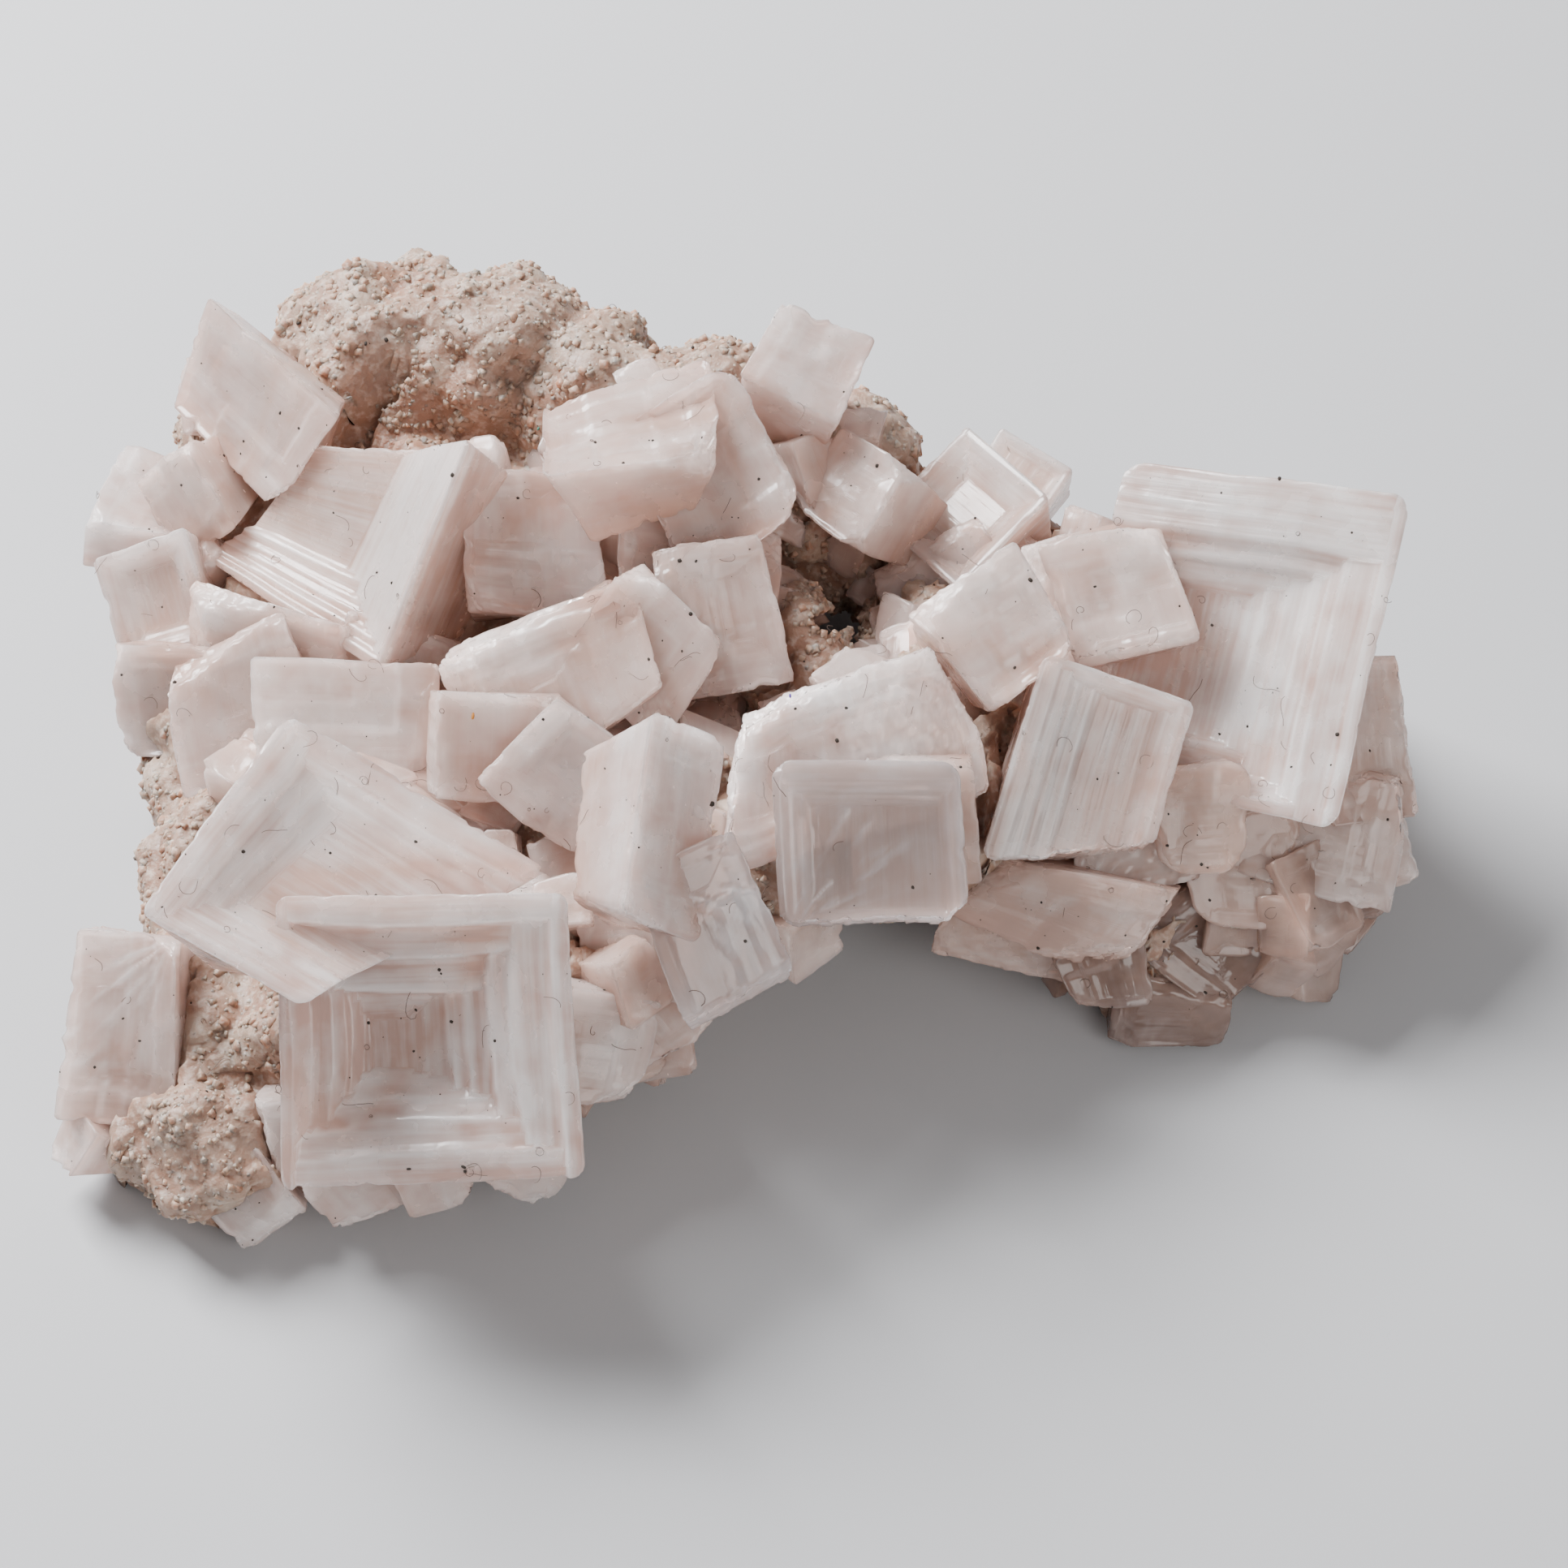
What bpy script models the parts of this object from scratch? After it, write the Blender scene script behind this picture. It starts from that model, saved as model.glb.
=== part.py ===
"""A hand-sized cluster of halite: pale hopper cubes of rock salt grown together on a lumpy crust.

The crystals are cubes whose faces are sunk in square steps, because the edges grew faster than the
middles. They stand at all angles on a crust of small rounded salt, and the whole grew as one piece, so
it is one closed solid. Underneath, the crust is hollowed into an arch and touches the ground on a few
worn feet. Millimetres in the tables below; X runs left to right, Y away from the viewer, Z up.
"""
import math

import bmesh
import bpy
from mathutils import Matrix, Vector, noise

MM = 0.001

# Crust: rounded lumps (centre x, y, z, radius x, y, z), melted together and roughened.
LUMPS = (
    (-29, 29, 11, 9, 8, 9), (-21, 28, 11, 8, 7, 10), (-14, 25, 10, 8, 7, 9), (-6, 22, 11, 8, 7, 9),
    (2, 18, 10, 8, 8, 8), (-36, 23, 8, 8, 8, 8), (-41, 14, 5, 5, 9, 6), (-28, 14, 7, 15, 13, 8),
    (-12, 10, 6, 13, 12, 8), (0, 2, 11, 5, 6, 6), (-39, 0, 4, 6, 9, 6), (-38, -12, 5, 6, 9, 6),
    (-27, -6, 5, 14, 13, 8), (-12, -10, 7, 12, 11, 8), (-38, -24, 5, 8, 9, 6), (-38, -32, 4, 7, 6, 5),
    (-26, -25, 7, 11, 9, 8), (-14, -21, 8, 7, 8, 7), (12, 14, 7, 8, 7, 7), (20, 8, 7, 10, 8, 7),
    (29, 2, 6, 12, 9, 8), (34, -4, 7, 8, 9, 7), (17, -7, 8, 11, 8, 7), (26, -10, 5, 10, 8, 7),
    (9, -12, 12, 9, 6, 6), (33, -12, 6, 7, 6, 6), (-1, -14, 13, 8, 6, 6), (25, -16, 3, 6, 4, 5),
    (12, 5, 8, 7, 7, 6), (10, -4, 11, 8, 7, 6), (-27, 22, 4, 7, 6, 5),
)
LUMP_VOXEL = 2.8          # grain of the melted crust
CRUST_GRAIN = 3.5         # size of its rough knobs
CRUST_ROUGH = 4.5         # height of its rough knobs

# Crystals: name, middle of the sunk face, (width, height, length) and (compass, tilt, spin) in degrees.
# Compass is where the face looks, tilt is how far it leans from straight up, and spin turns it in its
# own plane. The last number is how many square steps its face is sunk by.
CRYSTALS = (
    ("back_left_wall", (-37.5, 18.5, 19), (14, 9, 5), (-131, 65, 89), 0),
    ("left_bright_cube", (-45, 16.5, 12.5), (8, 8, 5), (62, 19, 15), 0),
    ("left_stepped_cube", (-44, 7, 12.5), (7.5, 8, 7), (-112, 41, 123), 2),
    ("left_peach_cube", (-42.5, 13.5, 15), (6.5, 6.5, 7), (-114, 60, 138), 0),
    ("big_back_hopper", (-31, 9.5, 20), (17.5, 19.5, 11), (-141, 46, -171), 2),
    ("cream_slab", (-10.5, 11, 26.5), (13, 9, 6), (118, 14, -103), 0),
    ("rounded_back_cube", (-4, 9, 24), (10.5, 12, 9), (-85, 36, 119), 0),
    ("top_right_cube", (2, 19, 24.5), (7, 7, 9), (-34, 15, -164), 0),
    ("tan_cube", (4.5, 12, 19.5), (7, 7, 9), (-159, 36, -62), 0),
    ("far_double_hopper", (12.5, 12.5, 16), (9, 9, 9), (-152, 19, 103), 2),
    ("far_second", (11, 7, 13.5), (9, 8, 7), (-95, 36, 118), 0),
    ("far_small_hopper", (16.5, 17, 13), (6, 6, 7), (-114, 30, 74), 1),
    ("far_dice", (20.5, 11.5, 14), (4, 4, 5), (-158, 50, 128), 0),
    ("great_right_hopper", (30, -3, 21), (20.5, 22.5, 9), (-120, 30, -78), 2),
    ("right_under_cube", (40, -7.5, 16), (8, 11, 8), (-62, 39, 72), 0),
    ("right_under_slab", (35.5, -12.5, 13), (11.5, 8, 8), (-86, 45, 73), 0),
    ("striped_cube", (20.5, -13, 18.5), (11.5, 14, 8), (-77, 41, 64), 1),
    ("clear_cube", (5.5, -21.5, 23), (12.5, 12, 8), (-93, 46, 95), 2),
    ("long_slab", (5, -14.5, 25), (21, 10, 7), (-88, 30, 101), 0),
    ("flared_peak", (14, -5, 24.5), (9, 8.5, 8), (-84, 31, 119), 0),
    ("under_ledge_cube", (22, 1.5, 18), (11, 11, 8), (-100, 37, 115), 0),
    ("tall_front_block", (-7, -23, 27), (7.5, 14, 7), (-20, 55, 22), 0),
    ("front_blade", (-4.5, -28, 22), (7.5, 11, 6), (-73, 43, 100), 0),
    ("front_left_hopper", (-28, -28, 28), (19.5, 18, 12), (-36, 17, 4), 2),
    ("star_hopper", (-22.5, -35.5, 21.5), (18.5, 19.5, 10), (-95, 48, 96), 4),
    ("striated_fan", (-43.5, -28, 11), (8, 13, 8), (-103, 43, 99), 0),
    ("left_ridge", (-36, 1.5, 12.5), (13, 7.5, 9), (-99, 42, 80), 0),
    ("left_speckled", (-37.5, -2.5, 12), (10, 10, 8), (-98, 45, 108), 0),
    ("left_low", (-43, 0, 9.5), (7, 8.5, 7), (-111, 56, 110), 0),
    ("left_slab", (-30, -8, 15.5), (12, 9, 9), (-90, 42, 87), 0),
    ("middle_plate", (-16, -6.5, 21.5), (14.5, 11, 9), (-95, 33, 117), 0),
    ("middle_peak", (-9, -4.5, 22), (8.5, 9, 9), (-86, 42, 131), 0),
    ("middle_cream", (-4, -0.5, 19.5), (8.5, 11, 9), (-81, 38, 95), 0),
    ("middle_shelf", (-5.5, 4, 19), (11.5, 8, 7), (-90, 30, 85), 0),
    ("middle_lump", (-20, -11, 19.5), (9, 7.5, 8), (-98, 45, 95), 0),
    ("middle_white", (-14.5, -14, 20.5), (7.5, 8, 8), (-90, 45, 144), 0),
    ("middle_flank", (-17, 6.5, 18.5), (10, 11, 9), (-58, 34, 62), 0),
    ("middle_hollow", (-9, 9.5, 16), (10, 8, 8), (-90, 36, 94), 0),
    ("front_low_a", (-10.5, -24, 14.5), (8, 8, 8), (-97, 54, 95), 0),
    ("front_low_b", (-8.5, -27, 11), (6.5, 6.5, 8), (-90, 53, 123), 0),
    ("front_low_tip", (-10, -27.5, 8), (8.5, 6, 7), (-90, 60, 100), 0),
    ("right_foot_slab", (16, -19.5, 7.5), (11.5, 5.5, 8), (-93, 58, 76), 0),
    ("right_long_bar", (18, -18.5, 11.5), (14, 7, 9), (-94, 48, 76), 0),
    ("right_foot_a", (21.5, -20.5, 7), (6.5, 6.5, 8), (-90, 53, 107), 0),
    ("right_ribbed", (29, -18.5, 7.5), (9, 9, 9), (-75, 49, 34), 0),
    ("right_foot_b", (26, -21.5, 3.5), (9, 6.5, 8), (-87, 60, 87), 0),
    ("right_knob", (31, -16, 12), (7.5, 7.5, 8), (-86, 45, 92), 0),
    ("right_peach", (28, -13.5, 15), (7, 7.5, 8), (-90, 42, 93), 0),
    ("right_inner", (24, -14.5, 14), (8.5, 7.5, 8), (-90, 42, 95), 0),
    ("right_edge_a", (41, -12, 10.5), (6, 6.5, 7), (-57, 47, 72), 0),
    ("right_edge_b", (37, -15.5, 9), (9.5, 7, 8), (-76, 55, 86), 0),
    ("low_left_a", (-35.5, -37, 5), (6, 6, 7), (-100, 50, 45), 0),
    ("low_left_b", (-28.5, -37.5, 7), (7, 5, 7), (-95, 70, 30), 0),
    ("low_left_c", (-23, -37.5, 8), (7, 5, 7), (-80, 75, 10), 0),
    ("low_left_d", (-17, -36.5, 8), (7, 5, 7), (-70, 70, 40), 0),
    ("low_left_e", (-47, -32.5, 5), (4, 4, 6), (-160, 50, 20), 0),
    ("low_left_f", (-32, -35, 8.5), (6, 5, 7), (-100, 60, 20), 0),
    ("back_left_fin", (-40.5, 23.5, 16.5), (6, 8.5, 6), (-150, 40, 60), 0),
    ("shade_block", (-27.5, 0, 11.5), (9, 8, 8), (-85, 45, 70), 0),
    ("left_back_block", (-44.5, 12, 10.5), (9, 9, 8), (-160, 45, 10), 0),
    ("star_flank", (-13, -30, 12), (9, 9, 8), (-70, 55, 60), 0),
    ("far_under_block", (17, 5, 13), (9, 8, 8), (-110, 40, 60), 0),
    ("slab_foot", (9, -17, 18.5), (9, 9, 9), (-95, 60, 95), 0),
    ("ledge_foot", (38, -5, 12), (8, 8, 8), (-60, 50, 20), 0),
    ("inner_facet", (23, -1, 22.5), (8.5, 8.5, 8), (-101, 31, 115), 0),
)
# How far a hopper's pit creeps off centre, per step, in its own plane.
CREEP = {
    "star_hopper": (-1.1, -0.5), "great_right_hopper": (1.1, 0.3), "big_back_hopper": (-0.3, 1.1),
}
# Corners that stopped short where a neighbour grew: which corner of the face, and how far it is drawn in.
DRAWN_IN = {
    "front_left_hopper": ((1, -1), (-5.0, 1.5)), "big_back_hopper": ((1, 1), (-6.5, -4.0)),
}
RIM = 0.075               # level ledges, as a share of the crystal's width
RISER = 0.03              # run of each steep riser, as a share of the width
DROP = 0.075              # depth of each riser, as a share of the width
ROOT = 0.75               # a crystal's buried end is narrower than its face by this
# Crystals that flare out from a thinner root.
FLARED = {
    "front_left_hopper": 0.5, "star_hopper": 0.6, "great_right_hopper": 0.72, "rounded_back_cube": 0.6,
    "clear_cube": 0.6, "long_slab": 0.6, "big_back_hopper": 0.7,
}
WEAR = 0.12               # how far each corner of a hopper strays, as a share of the width
LOOSE_WEAR = 0.24         # the same for the plain cubes and slabs
STRAY_SHIFTS = (Vector((0, 0, 0)), Vector((31, 7, 5)), Vector((3, 41, 17)))

# One gap goes right through the crust: its middle, its radii and how far it leans back from upright.
GAP_PLACE = (3.2, 8.0, 8.0)
GAP_RADII = (1.6, 1.1, 22.0)
GAP_LEAN = 36.0
GROUND_CUT = 40.0         # depth of the block that cuts the feet level
SLIVER = 0.000001         # edges shorter than this, in metres, are closed up
NAME = "halite_cluster"


def fresh_scene():
    """Empty the scene and make the two collections."""
    for old in list(bpy.data.objects):
        bpy.data.objects.remove(old, do_unlink=True)
    made = []
    for title in (NAME, "construction"):
        box = bpy.data.collections.new(title)
        bpy.context.scene.collection.children.link(box)
        made.append(box)
    return made


def link_mesh(name, bm, collection):
    """Turn a bmesh into an object in the given collection."""
    mesh = bpy.data.meshes.new(name)
    bm.to_mesh(mesh)
    bm.free()
    thing = bpy.data.objects.new(name, mesh)
    collection.objects.link(thing)
    return thing


def helper(name, bm, collection):
    """An object that only shapes others: drawn as wire and never rendered."""
    thing = link_mesh(name, bm, collection)
    thing.hide_render = True
    thing.display_type = "WIRE"
    return thing


def settle(thing):
    """Replace an object's mesh by what its modifiers make of it, in flat triangles."""
    graph = bpy.context.evaluated_depsgraph_get()
    made = bpy.data.meshes.new_from_object(thing.evaluated_get(graph))
    thing.modifiers.clear()
    bm = bmesh.new()
    bm.from_mesh(made)
    bmesh.ops.triangulate(bm, faces=bm.faces)
    bm.to_mesh(made)
    bm.free()
    thing.data = made


def crust(collection):
    """Roughen the lumps and melt them into one skin."""
    bm = bmesh.new()
    for x, y, z, rx, ry, rz in LUMPS:
        place = Matrix.Translation(Vector((x, y, z)) * MM)
        size = Matrix.Diagonal((rx * MM, ry * MM, rz * MM, 1.0))
        bmesh.ops.create_icosphere(bm, subdivisions=3, radius=1.0, matrix=place @ size)
    body = link_mesh(NAME, bm, collection)

    knobs = bpy.data.textures.new("crust_knobs", "CLOUDS")
    knobs.noise_scale = CRUST_GRAIN * MM
    rough = body.modifiers.new("rough", "DISPLACE")
    rough.texture = knobs
    rough.texture_coords = "LOCAL"
    rough.strength = CRUST_ROUGH * MM
    rough.mid_level = 0.5

    melt = body.modifiers.new("melt", "REMESH")
    melt.mode = "VOXEL"
    melt.voxel_size = LUMP_VOXEL * MM
    settle(body)
    return body


def placing(place, turn):
    """Where a crystal's own frame goes: its face looks along its own +Z."""
    compass, tilt, spin = (math.radians(angle) for angle in turn)
    facing = Matrix.Rotation(compass, 4, "Z") @ Matrix.Rotation(tilt, 4, "Y") @ Matrix.Rotation(spin, 4, "Z")
    return Matrix.Translation(Vector(place) * MM) @ facing


def crystal(name, place, size, turn, steps):
    """One cube, worn at its corners and narrower at its buried end, with its face sunk in steps."""
    width, height, length = (value * MM for value in size)
    bm = bmesh.new()
    bmesh.ops.create_cube(bm, size=1.0)
    corner, inward = DRAWN_IN.get(name, ((0, 0), (0, 0)))
    root = FLARED.get(name, ROOT)
    for vert in bm.verts:
        buried = vert.co.z < 0
        narrow = root if buried else 1.0
        drawn = vert.co.x * corner[0] > 0 and vert.co.y * corner[1] > 0
        vert.co.x *= width * narrow
        vert.co.y *= height * narrow
        vert.co.z = -length if buried else 0.0
        spot = (vert.co / MM + Vector(place)) * 0.37
        vert.co += Vector([noise.noise(spot + shift) for shift in STRAY_SHIFTS]) * width * (WEAR if steps else LOOSE_WEAR)
        if drawn:
            vert.co += Vector((inward[0], inward[1], 0.0)) * MM

    face = max(bm.faces, key=lambda f: f.calc_center_median().z)
    creep = Vector(CREEP.get(name, (0.0, 0.0)) + (0.0,)) * MM
    for step in range(steps):
        bmesh.ops.inset_region(bm, faces=[face], thickness=RIM * width, use_even_offset=True)
        bmesh.ops.inset_region(bm, faces=[face], thickness=RISER * width, depth=-DROP * width,
                               use_even_offset=True)
        bmesh.ops.translate(bm, verts=face.verts, vec=creep)
    bmesh.ops.triangulate(bm, faces=bm.faces)
    bmesh.ops.recalc_face_normals(bm, faces=bm.faces)
    bmesh.ops.transform(bm, matrix=placing(place, turn), verts=bm.verts)
    return bm


def combine(body, tool, operation):
    """Join or cut with an exact Boolean."""
    joint = body.modifiers.new("joint", "BOOLEAN")
    joint.operation = operation
    joint.solver = "EXACT"
    joint.object = tool
    settle(body)


def whole_outside(body):
    """Keep the outer skin alone, so no sealed hollow is left inside, and centre it over the origin."""
    bm = bmesh.new()
    bm.from_mesh(body.data)
    bmesh.ops.remove_doubles(bm, verts=bm.verts, dist=SLIVER * 0.1)
    bmesh.ops.dissolve_degenerate(bm, edges=bm.edges, dist=SLIVER)
    bmesh.ops.triangulate(bm, faces=bm.faces)

    islands = []
    unseen = set(bm.verts)
    while unseen:
        front = [unseen.pop()]
        island = list(front)
        while front:
            near = front.pop()
            for edge in near.link_edges:
                other = edge.other_vert(near)
                if other in unseen:
                    unseen.discard(other)
                    front.append(other)
                    island.append(other)
        islands.append(island)
    islands.sort(key=len, reverse=True)
    for island in islands[1:]:
        bmesh.ops.delete(bm, geom=island, context="VERTS")

    xs = [vert.co.x for vert in bm.verts]
    ys = [vert.co.y for vert in bm.verts]
    middle = Vector(((min(xs) + max(xs)) / 2, (min(ys) + max(ys)) / 2, 0.0))
    bmesh.ops.translate(bm, verts=bm.verts, vec=-middle)
    bm.to_mesh(body.data)
    bm.free()
    print("shells", len(islands), "largest", len(islands[0]), "shift", tuple(round(v / MM, 2) for v in middle))


def salt():
    """Pale pinkish salt, glossy where a crystal face is fresh."""
    matter = bpy.data.materials.new("halite")
    matter.use_nodes = True
    shader = matter.node_tree.nodes["Principled BSDF"]
    shader.inputs["Base Color"].default_value = (0.66, 0.56, 0.53, 1.0)
    shader.inputs["Roughness"].default_value = 0.35
    shader.inputs["Metallic"].default_value = 0.0
    return matter


def gap():
    """A long narrow lens that makes the gap through the crust."""
    bm = bmesh.new()
    lean = Matrix.Rotation(math.radians(GAP_LEAN), 4, "X")
    size = Matrix.Diagonal(tuple(radius * MM for radius in GAP_RADII) + (1.0,))
    bmesh.ops.create_icosphere(bm, subdivisions=2, radius=1.0,
                               matrix=Matrix.Translation(Vector(GAP_PLACE) * MM) @ lean @ size)
    return bm


def main():
    shown, construction = fresh_scene()
    body = crust(shown)
    combine(body, helper("gap", gap(), construction), "DIFFERENCE")
    for name, place, size, turn, steps in CRYSTALS:
        cube = helper(name, crystal(name, place, size, turn, steps), construction)
        combine(body, cube, "UNION")

    block = bmesh.new()
    side = 4.0 * GROUND_CUT * MM
    low = Matrix.Translation((0.0, 0.0, -GROUND_CUT * MM / 2))
    bmesh.ops.create_cube(block, size=1.0, matrix=low @ Matrix.Diagonal((side, side, GROUND_CUT * MM, 1.0)))
    combine(body, helper("ground_cut", block, construction), "DIFFERENCE")

    whole_outside(body)
    body.data.materials.clear()
    body.data.materials.append(salt())
    low = [min(v.co[i] for v in body.data.vertices) / MM for i in range(3)]
    high = [max(v.co[i] for v in body.data.vertices) / MM for i in range(3)]
    print("triangles", len(body.data.polygons), "box", [round(v, 2) for v in low], [round(v, 2) for v in high])


main()
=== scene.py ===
# %% [markdown]
# # Hopper halite on a salt crust
#
# Rock salt grows as cubes. Where it grows fast, the edges of a cube get more salt than the middle of
# its faces, so each face is left sunk in square steps: a hopper crystal. This specimen is a handful of
# such pale pinkish cubes standing at all angles on a lumpy peach-coloured crust.
#
# The cells below load the solid model, which already holds every crystal as a plain cube, and dress it:
# each cube gets its own fine surface, worked out with numpy, and the crust gets its grains.

# %% Load the solid model
import math

import bmesh
import bpy
import numpy as np
from mathutils import Matrix, Vector, noise


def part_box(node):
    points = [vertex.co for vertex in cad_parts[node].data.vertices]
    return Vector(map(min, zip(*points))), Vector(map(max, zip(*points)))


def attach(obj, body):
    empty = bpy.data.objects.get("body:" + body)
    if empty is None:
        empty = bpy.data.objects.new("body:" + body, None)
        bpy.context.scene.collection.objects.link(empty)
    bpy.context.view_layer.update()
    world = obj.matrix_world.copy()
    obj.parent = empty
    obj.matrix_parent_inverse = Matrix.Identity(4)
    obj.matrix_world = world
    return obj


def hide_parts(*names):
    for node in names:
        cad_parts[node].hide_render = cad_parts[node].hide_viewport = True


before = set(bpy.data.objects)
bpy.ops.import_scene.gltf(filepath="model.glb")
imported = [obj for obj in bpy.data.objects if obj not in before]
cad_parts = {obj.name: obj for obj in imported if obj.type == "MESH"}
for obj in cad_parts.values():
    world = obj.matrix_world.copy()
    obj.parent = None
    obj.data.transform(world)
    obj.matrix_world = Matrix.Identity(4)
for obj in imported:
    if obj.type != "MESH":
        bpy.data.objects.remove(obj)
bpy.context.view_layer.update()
MM = 0.001
NODE = "halite_cluster"
BODY = "root"
box_low, box_high = (np.array(corner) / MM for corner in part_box(NODE))
print("solid box in mm", box_low.round(2), box_high.round(2))

# %% [markdown]
# The camera stands well above the specimen and looks down at it through a long lens, which keeps the
# cubes' edges nearly parallel. Its place is a distance and a height angle, so it is easy to move.

# %% Camera
CAMERA_DISTANCE = 317.0      # from the middle of the view, in mm
CAMERA_HEIGHT = 54.0         # degrees above the floor
CAMERA_FIELD = 20.0          # width of the view in degrees
VIEW_MIDDLE = (2.95, 2.63, 0.0)

climb = math.radians(CAMERA_HEIGHT)
backwards = Vector((0.0, -math.cos(climb), math.sin(climb)))
lens = bpy.data.cameras.new("viewpoint")
lens.sensor_fit = "HORIZONTAL"
lens.angle = math.radians(CAMERA_FIELD)
lens.clip_start = 0.01
viewpoint = bpy.data.objects.new("viewpoint", lens)
bpy.context.scene.collection.objects.link(viewpoint)
viewpoint.location = (Vector(VIEW_MIDDLE) + backwards * CAMERA_DISTANCE) * MM
viewpoint.rotation_euler = (math.radians(90.0 - CAMERA_HEIGHT), 0.0, 0.0)
bpy.context.scene.camera = viewpoint
print("camera at", [round(v, 4) for v in viewpoint.location])

# %% [markdown]
# The light is a studio's: one broad soft lamp high behind the left shoulder of the specimen, which
# rakes across the steps, a weaker one in front to open the shadows, and a pale surround.

# %% Floor, lamps and surround
FLOOR_SIZE = 3.0             # in metres
FLOOR_COLOUR = (0.50, 0.50, 0.51, 1.0)
SURROUND_COLOUR, SURROUND_STRENGTH = (0.95, 0.96, 1.0, 1.0), 0.27
LAMPS = (                    # name, place in mm, side in mm, watts, colour
    ("key", (-230.0, 210.0, 330.0), 240.0, 7.0, (0.97, 0.98, 1.0)),
    ("fill", (260.0, -330.0, 260.0), 320.0, 1.2, (1.0, 0.98, 0.96)),
)


def new_material(name):
    """A new material, its node tree and its Principled shader."""
    made = bpy.data.materials.new(name)
    made.use_nodes = True
    return made, made.node_tree, made.node_tree.nodes["Principled BSDF"]


def fill_inputs(tree, node, inputs):
    """Link each input named to the socket given for it, or set it to the value given."""
    for title, value in inputs.items():
        if isinstance(value, bpy.types.NodeSocket):
            tree.links.new(value, node.inputs[title])
        else:
            node.inputs[title].default_value = value


def plain_material(name, colour, roughness):
    """One even finish: a colour and a roughness."""
    made, tree, shader = new_material(name)
    fill_inputs(tree, shader, {"Base Color": colour, "Roughness": roughness})
    return made


bpy.ops.mesh.primitive_plane_add(size=FLOOR_SIZE)
floor = bpy.context.object
floor.name = "floor"
floor.data.materials.append(plain_material("pale floor", FLOOR_COLOUR, 0.7))

for lamp_name, lamp_place, lamp_side, lamp_watts, lamp_colour in LAMPS:
    glow = bpy.data.lights.new(lamp_name, "AREA")
    glow.shape = "SQUARE"
    glow.size = lamp_side * MM
    glow.energy = lamp_watts
    glow.color = lamp_colour
    lamp = bpy.data.objects.new(lamp_name, glow)
    bpy.context.scene.collection.objects.link(lamp)
    lamp.location = Vector(lamp_place) * MM
    lamp.rotation_euler = (-lamp.location).to_track_quat("-Z", "Y").to_euler()

surround = bpy.data.worlds.new("studio")
surround.use_nodes = True
fill_inputs(surround.node_tree, surround.node_tree.nodes["Background"],
            {"Color": SURROUND_COLOUR, "Strength": SURROUND_STRENGTH})
bpy.context.scene.world = surround
print("lamps", [row[0] for row in LAMPS])

# %% [markdown]
# Everything uneven on the salt comes from noise that gives the same value at the same place every time.
# Value noise draws a random number at each corner of a unit grid and blends between the corners. Cell
# noise scatters one point in each unit cube and measures how far the nearest one is, which makes grains.

# %% Noise worked out as whole arrays
HASH_STEPS = (374761393, 668265263, 1440662683)
HASH_MIX, HASH_SEED = np.uint64(1274126177), 2654435761
LOW_BITS = np.uint64(0xFFFFFFFF)
LAYER_SHIFT = 17.3           # each layer of noise is read at another place, so that they don't line up
FAR = 9.0                    # further than any nearest point or crystal can be


def scramble(cells, seed):
    """A number from 0 to 1 for each whole-numbered cell: products of its coordinates, mixed by shifts."""
    cells = cells.astype(np.int64).astype(np.uint64) & LOW_BITS
    mixed = np.full(cells.shape[:-1], (seed * HASH_SEED) & int(LOW_BITS), np.uint64)
    for axis, step in enumerate(HASH_STEPS):
        mixed = (mixed + cells[..., axis] * np.uint64(step)) & LOW_BITS
        mixed = ((mixed ^ (mixed >> np.uint64(15))) * HASH_MIX) & LOW_BITS
    mixed ^= mixed >> np.uint64(13)
    return (mixed & np.uint64(0xFFFFFF)).astype(np.float64) / 0xFFFFFF


def value_noise(points, seed):
    """From -1 to 1: the eight corner values of each point's grid cube, blended by 3t^2 - 2t^3 each way."""
    base = np.floor(points)
    part = points - base
    part = part * part * (3.0 - 2.0 * part)
    total = np.zeros(points.shape[:-1])
    for corner in np.ndindex(2, 2, 2):
        weight = np.prod(np.where(np.array(corner) == 1, part, 1.0 - part), axis=-1)
        total += weight * scramble(base + np.array(corner), seed)
    return total * 2.0 - 1.0


def layered_noise(points, seed, layers=3):
    """Value noise added to itself at twice the pitch and half the height, once for each layer."""
    total = np.zeros(points.shape[:-1])
    height = 1.0
    for layer in range(layers):
        total += height * value_noise(points * 2.0 ** layer + LAYER_SHIFT * layer, seed + layer)
        height *= 0.5
    return total / (2.0 - 2.0 * height)


def slice_noise(first, second, third, seed, layers=3):
    """Layered noise at two coordinates, in the slice of it that the third one gives."""
    return layered_noise(np.stack(np.broadcast_arrays(first, second, third), axis=-1), seed, layers)


def cell_noise(points, seed):
    """Distance from each point to the nearest of the scattered points, and a number of that one's own."""
    base = np.floor(points)
    nearest = np.full(points.shape[:-1], FAR)
    number = np.zeros(points.shape[:-1])
    for shift in np.ndindex(3, 3, 3):
        cell = base + np.array(shift) - 1.0
        spot = cell + np.stack([scramble(cell, seed + axis) for axis in range(3)], axis=-1)
        gap = np.linalg.norm(points - spot, axis=-1)
        closer = gap < nearest
        nearest = np.where(closer, gap, nearest)
        number = np.where(closer, scramble(cell, seed + 7), number)
    return nearest, number


def soft_step(value, low, high):
    """0 below low, 1 above high, and 3t^2 - 2t^3 between."""
    part = np.clip((value - low) / (high - low), 0.0, 1.0)
    return part * part * (3.0 - 2.0 * part)


print("noise at one point", round(float(value_noise(np.array([[0.5, 1.5, 2.5]]), 3)[0]), 4))
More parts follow.
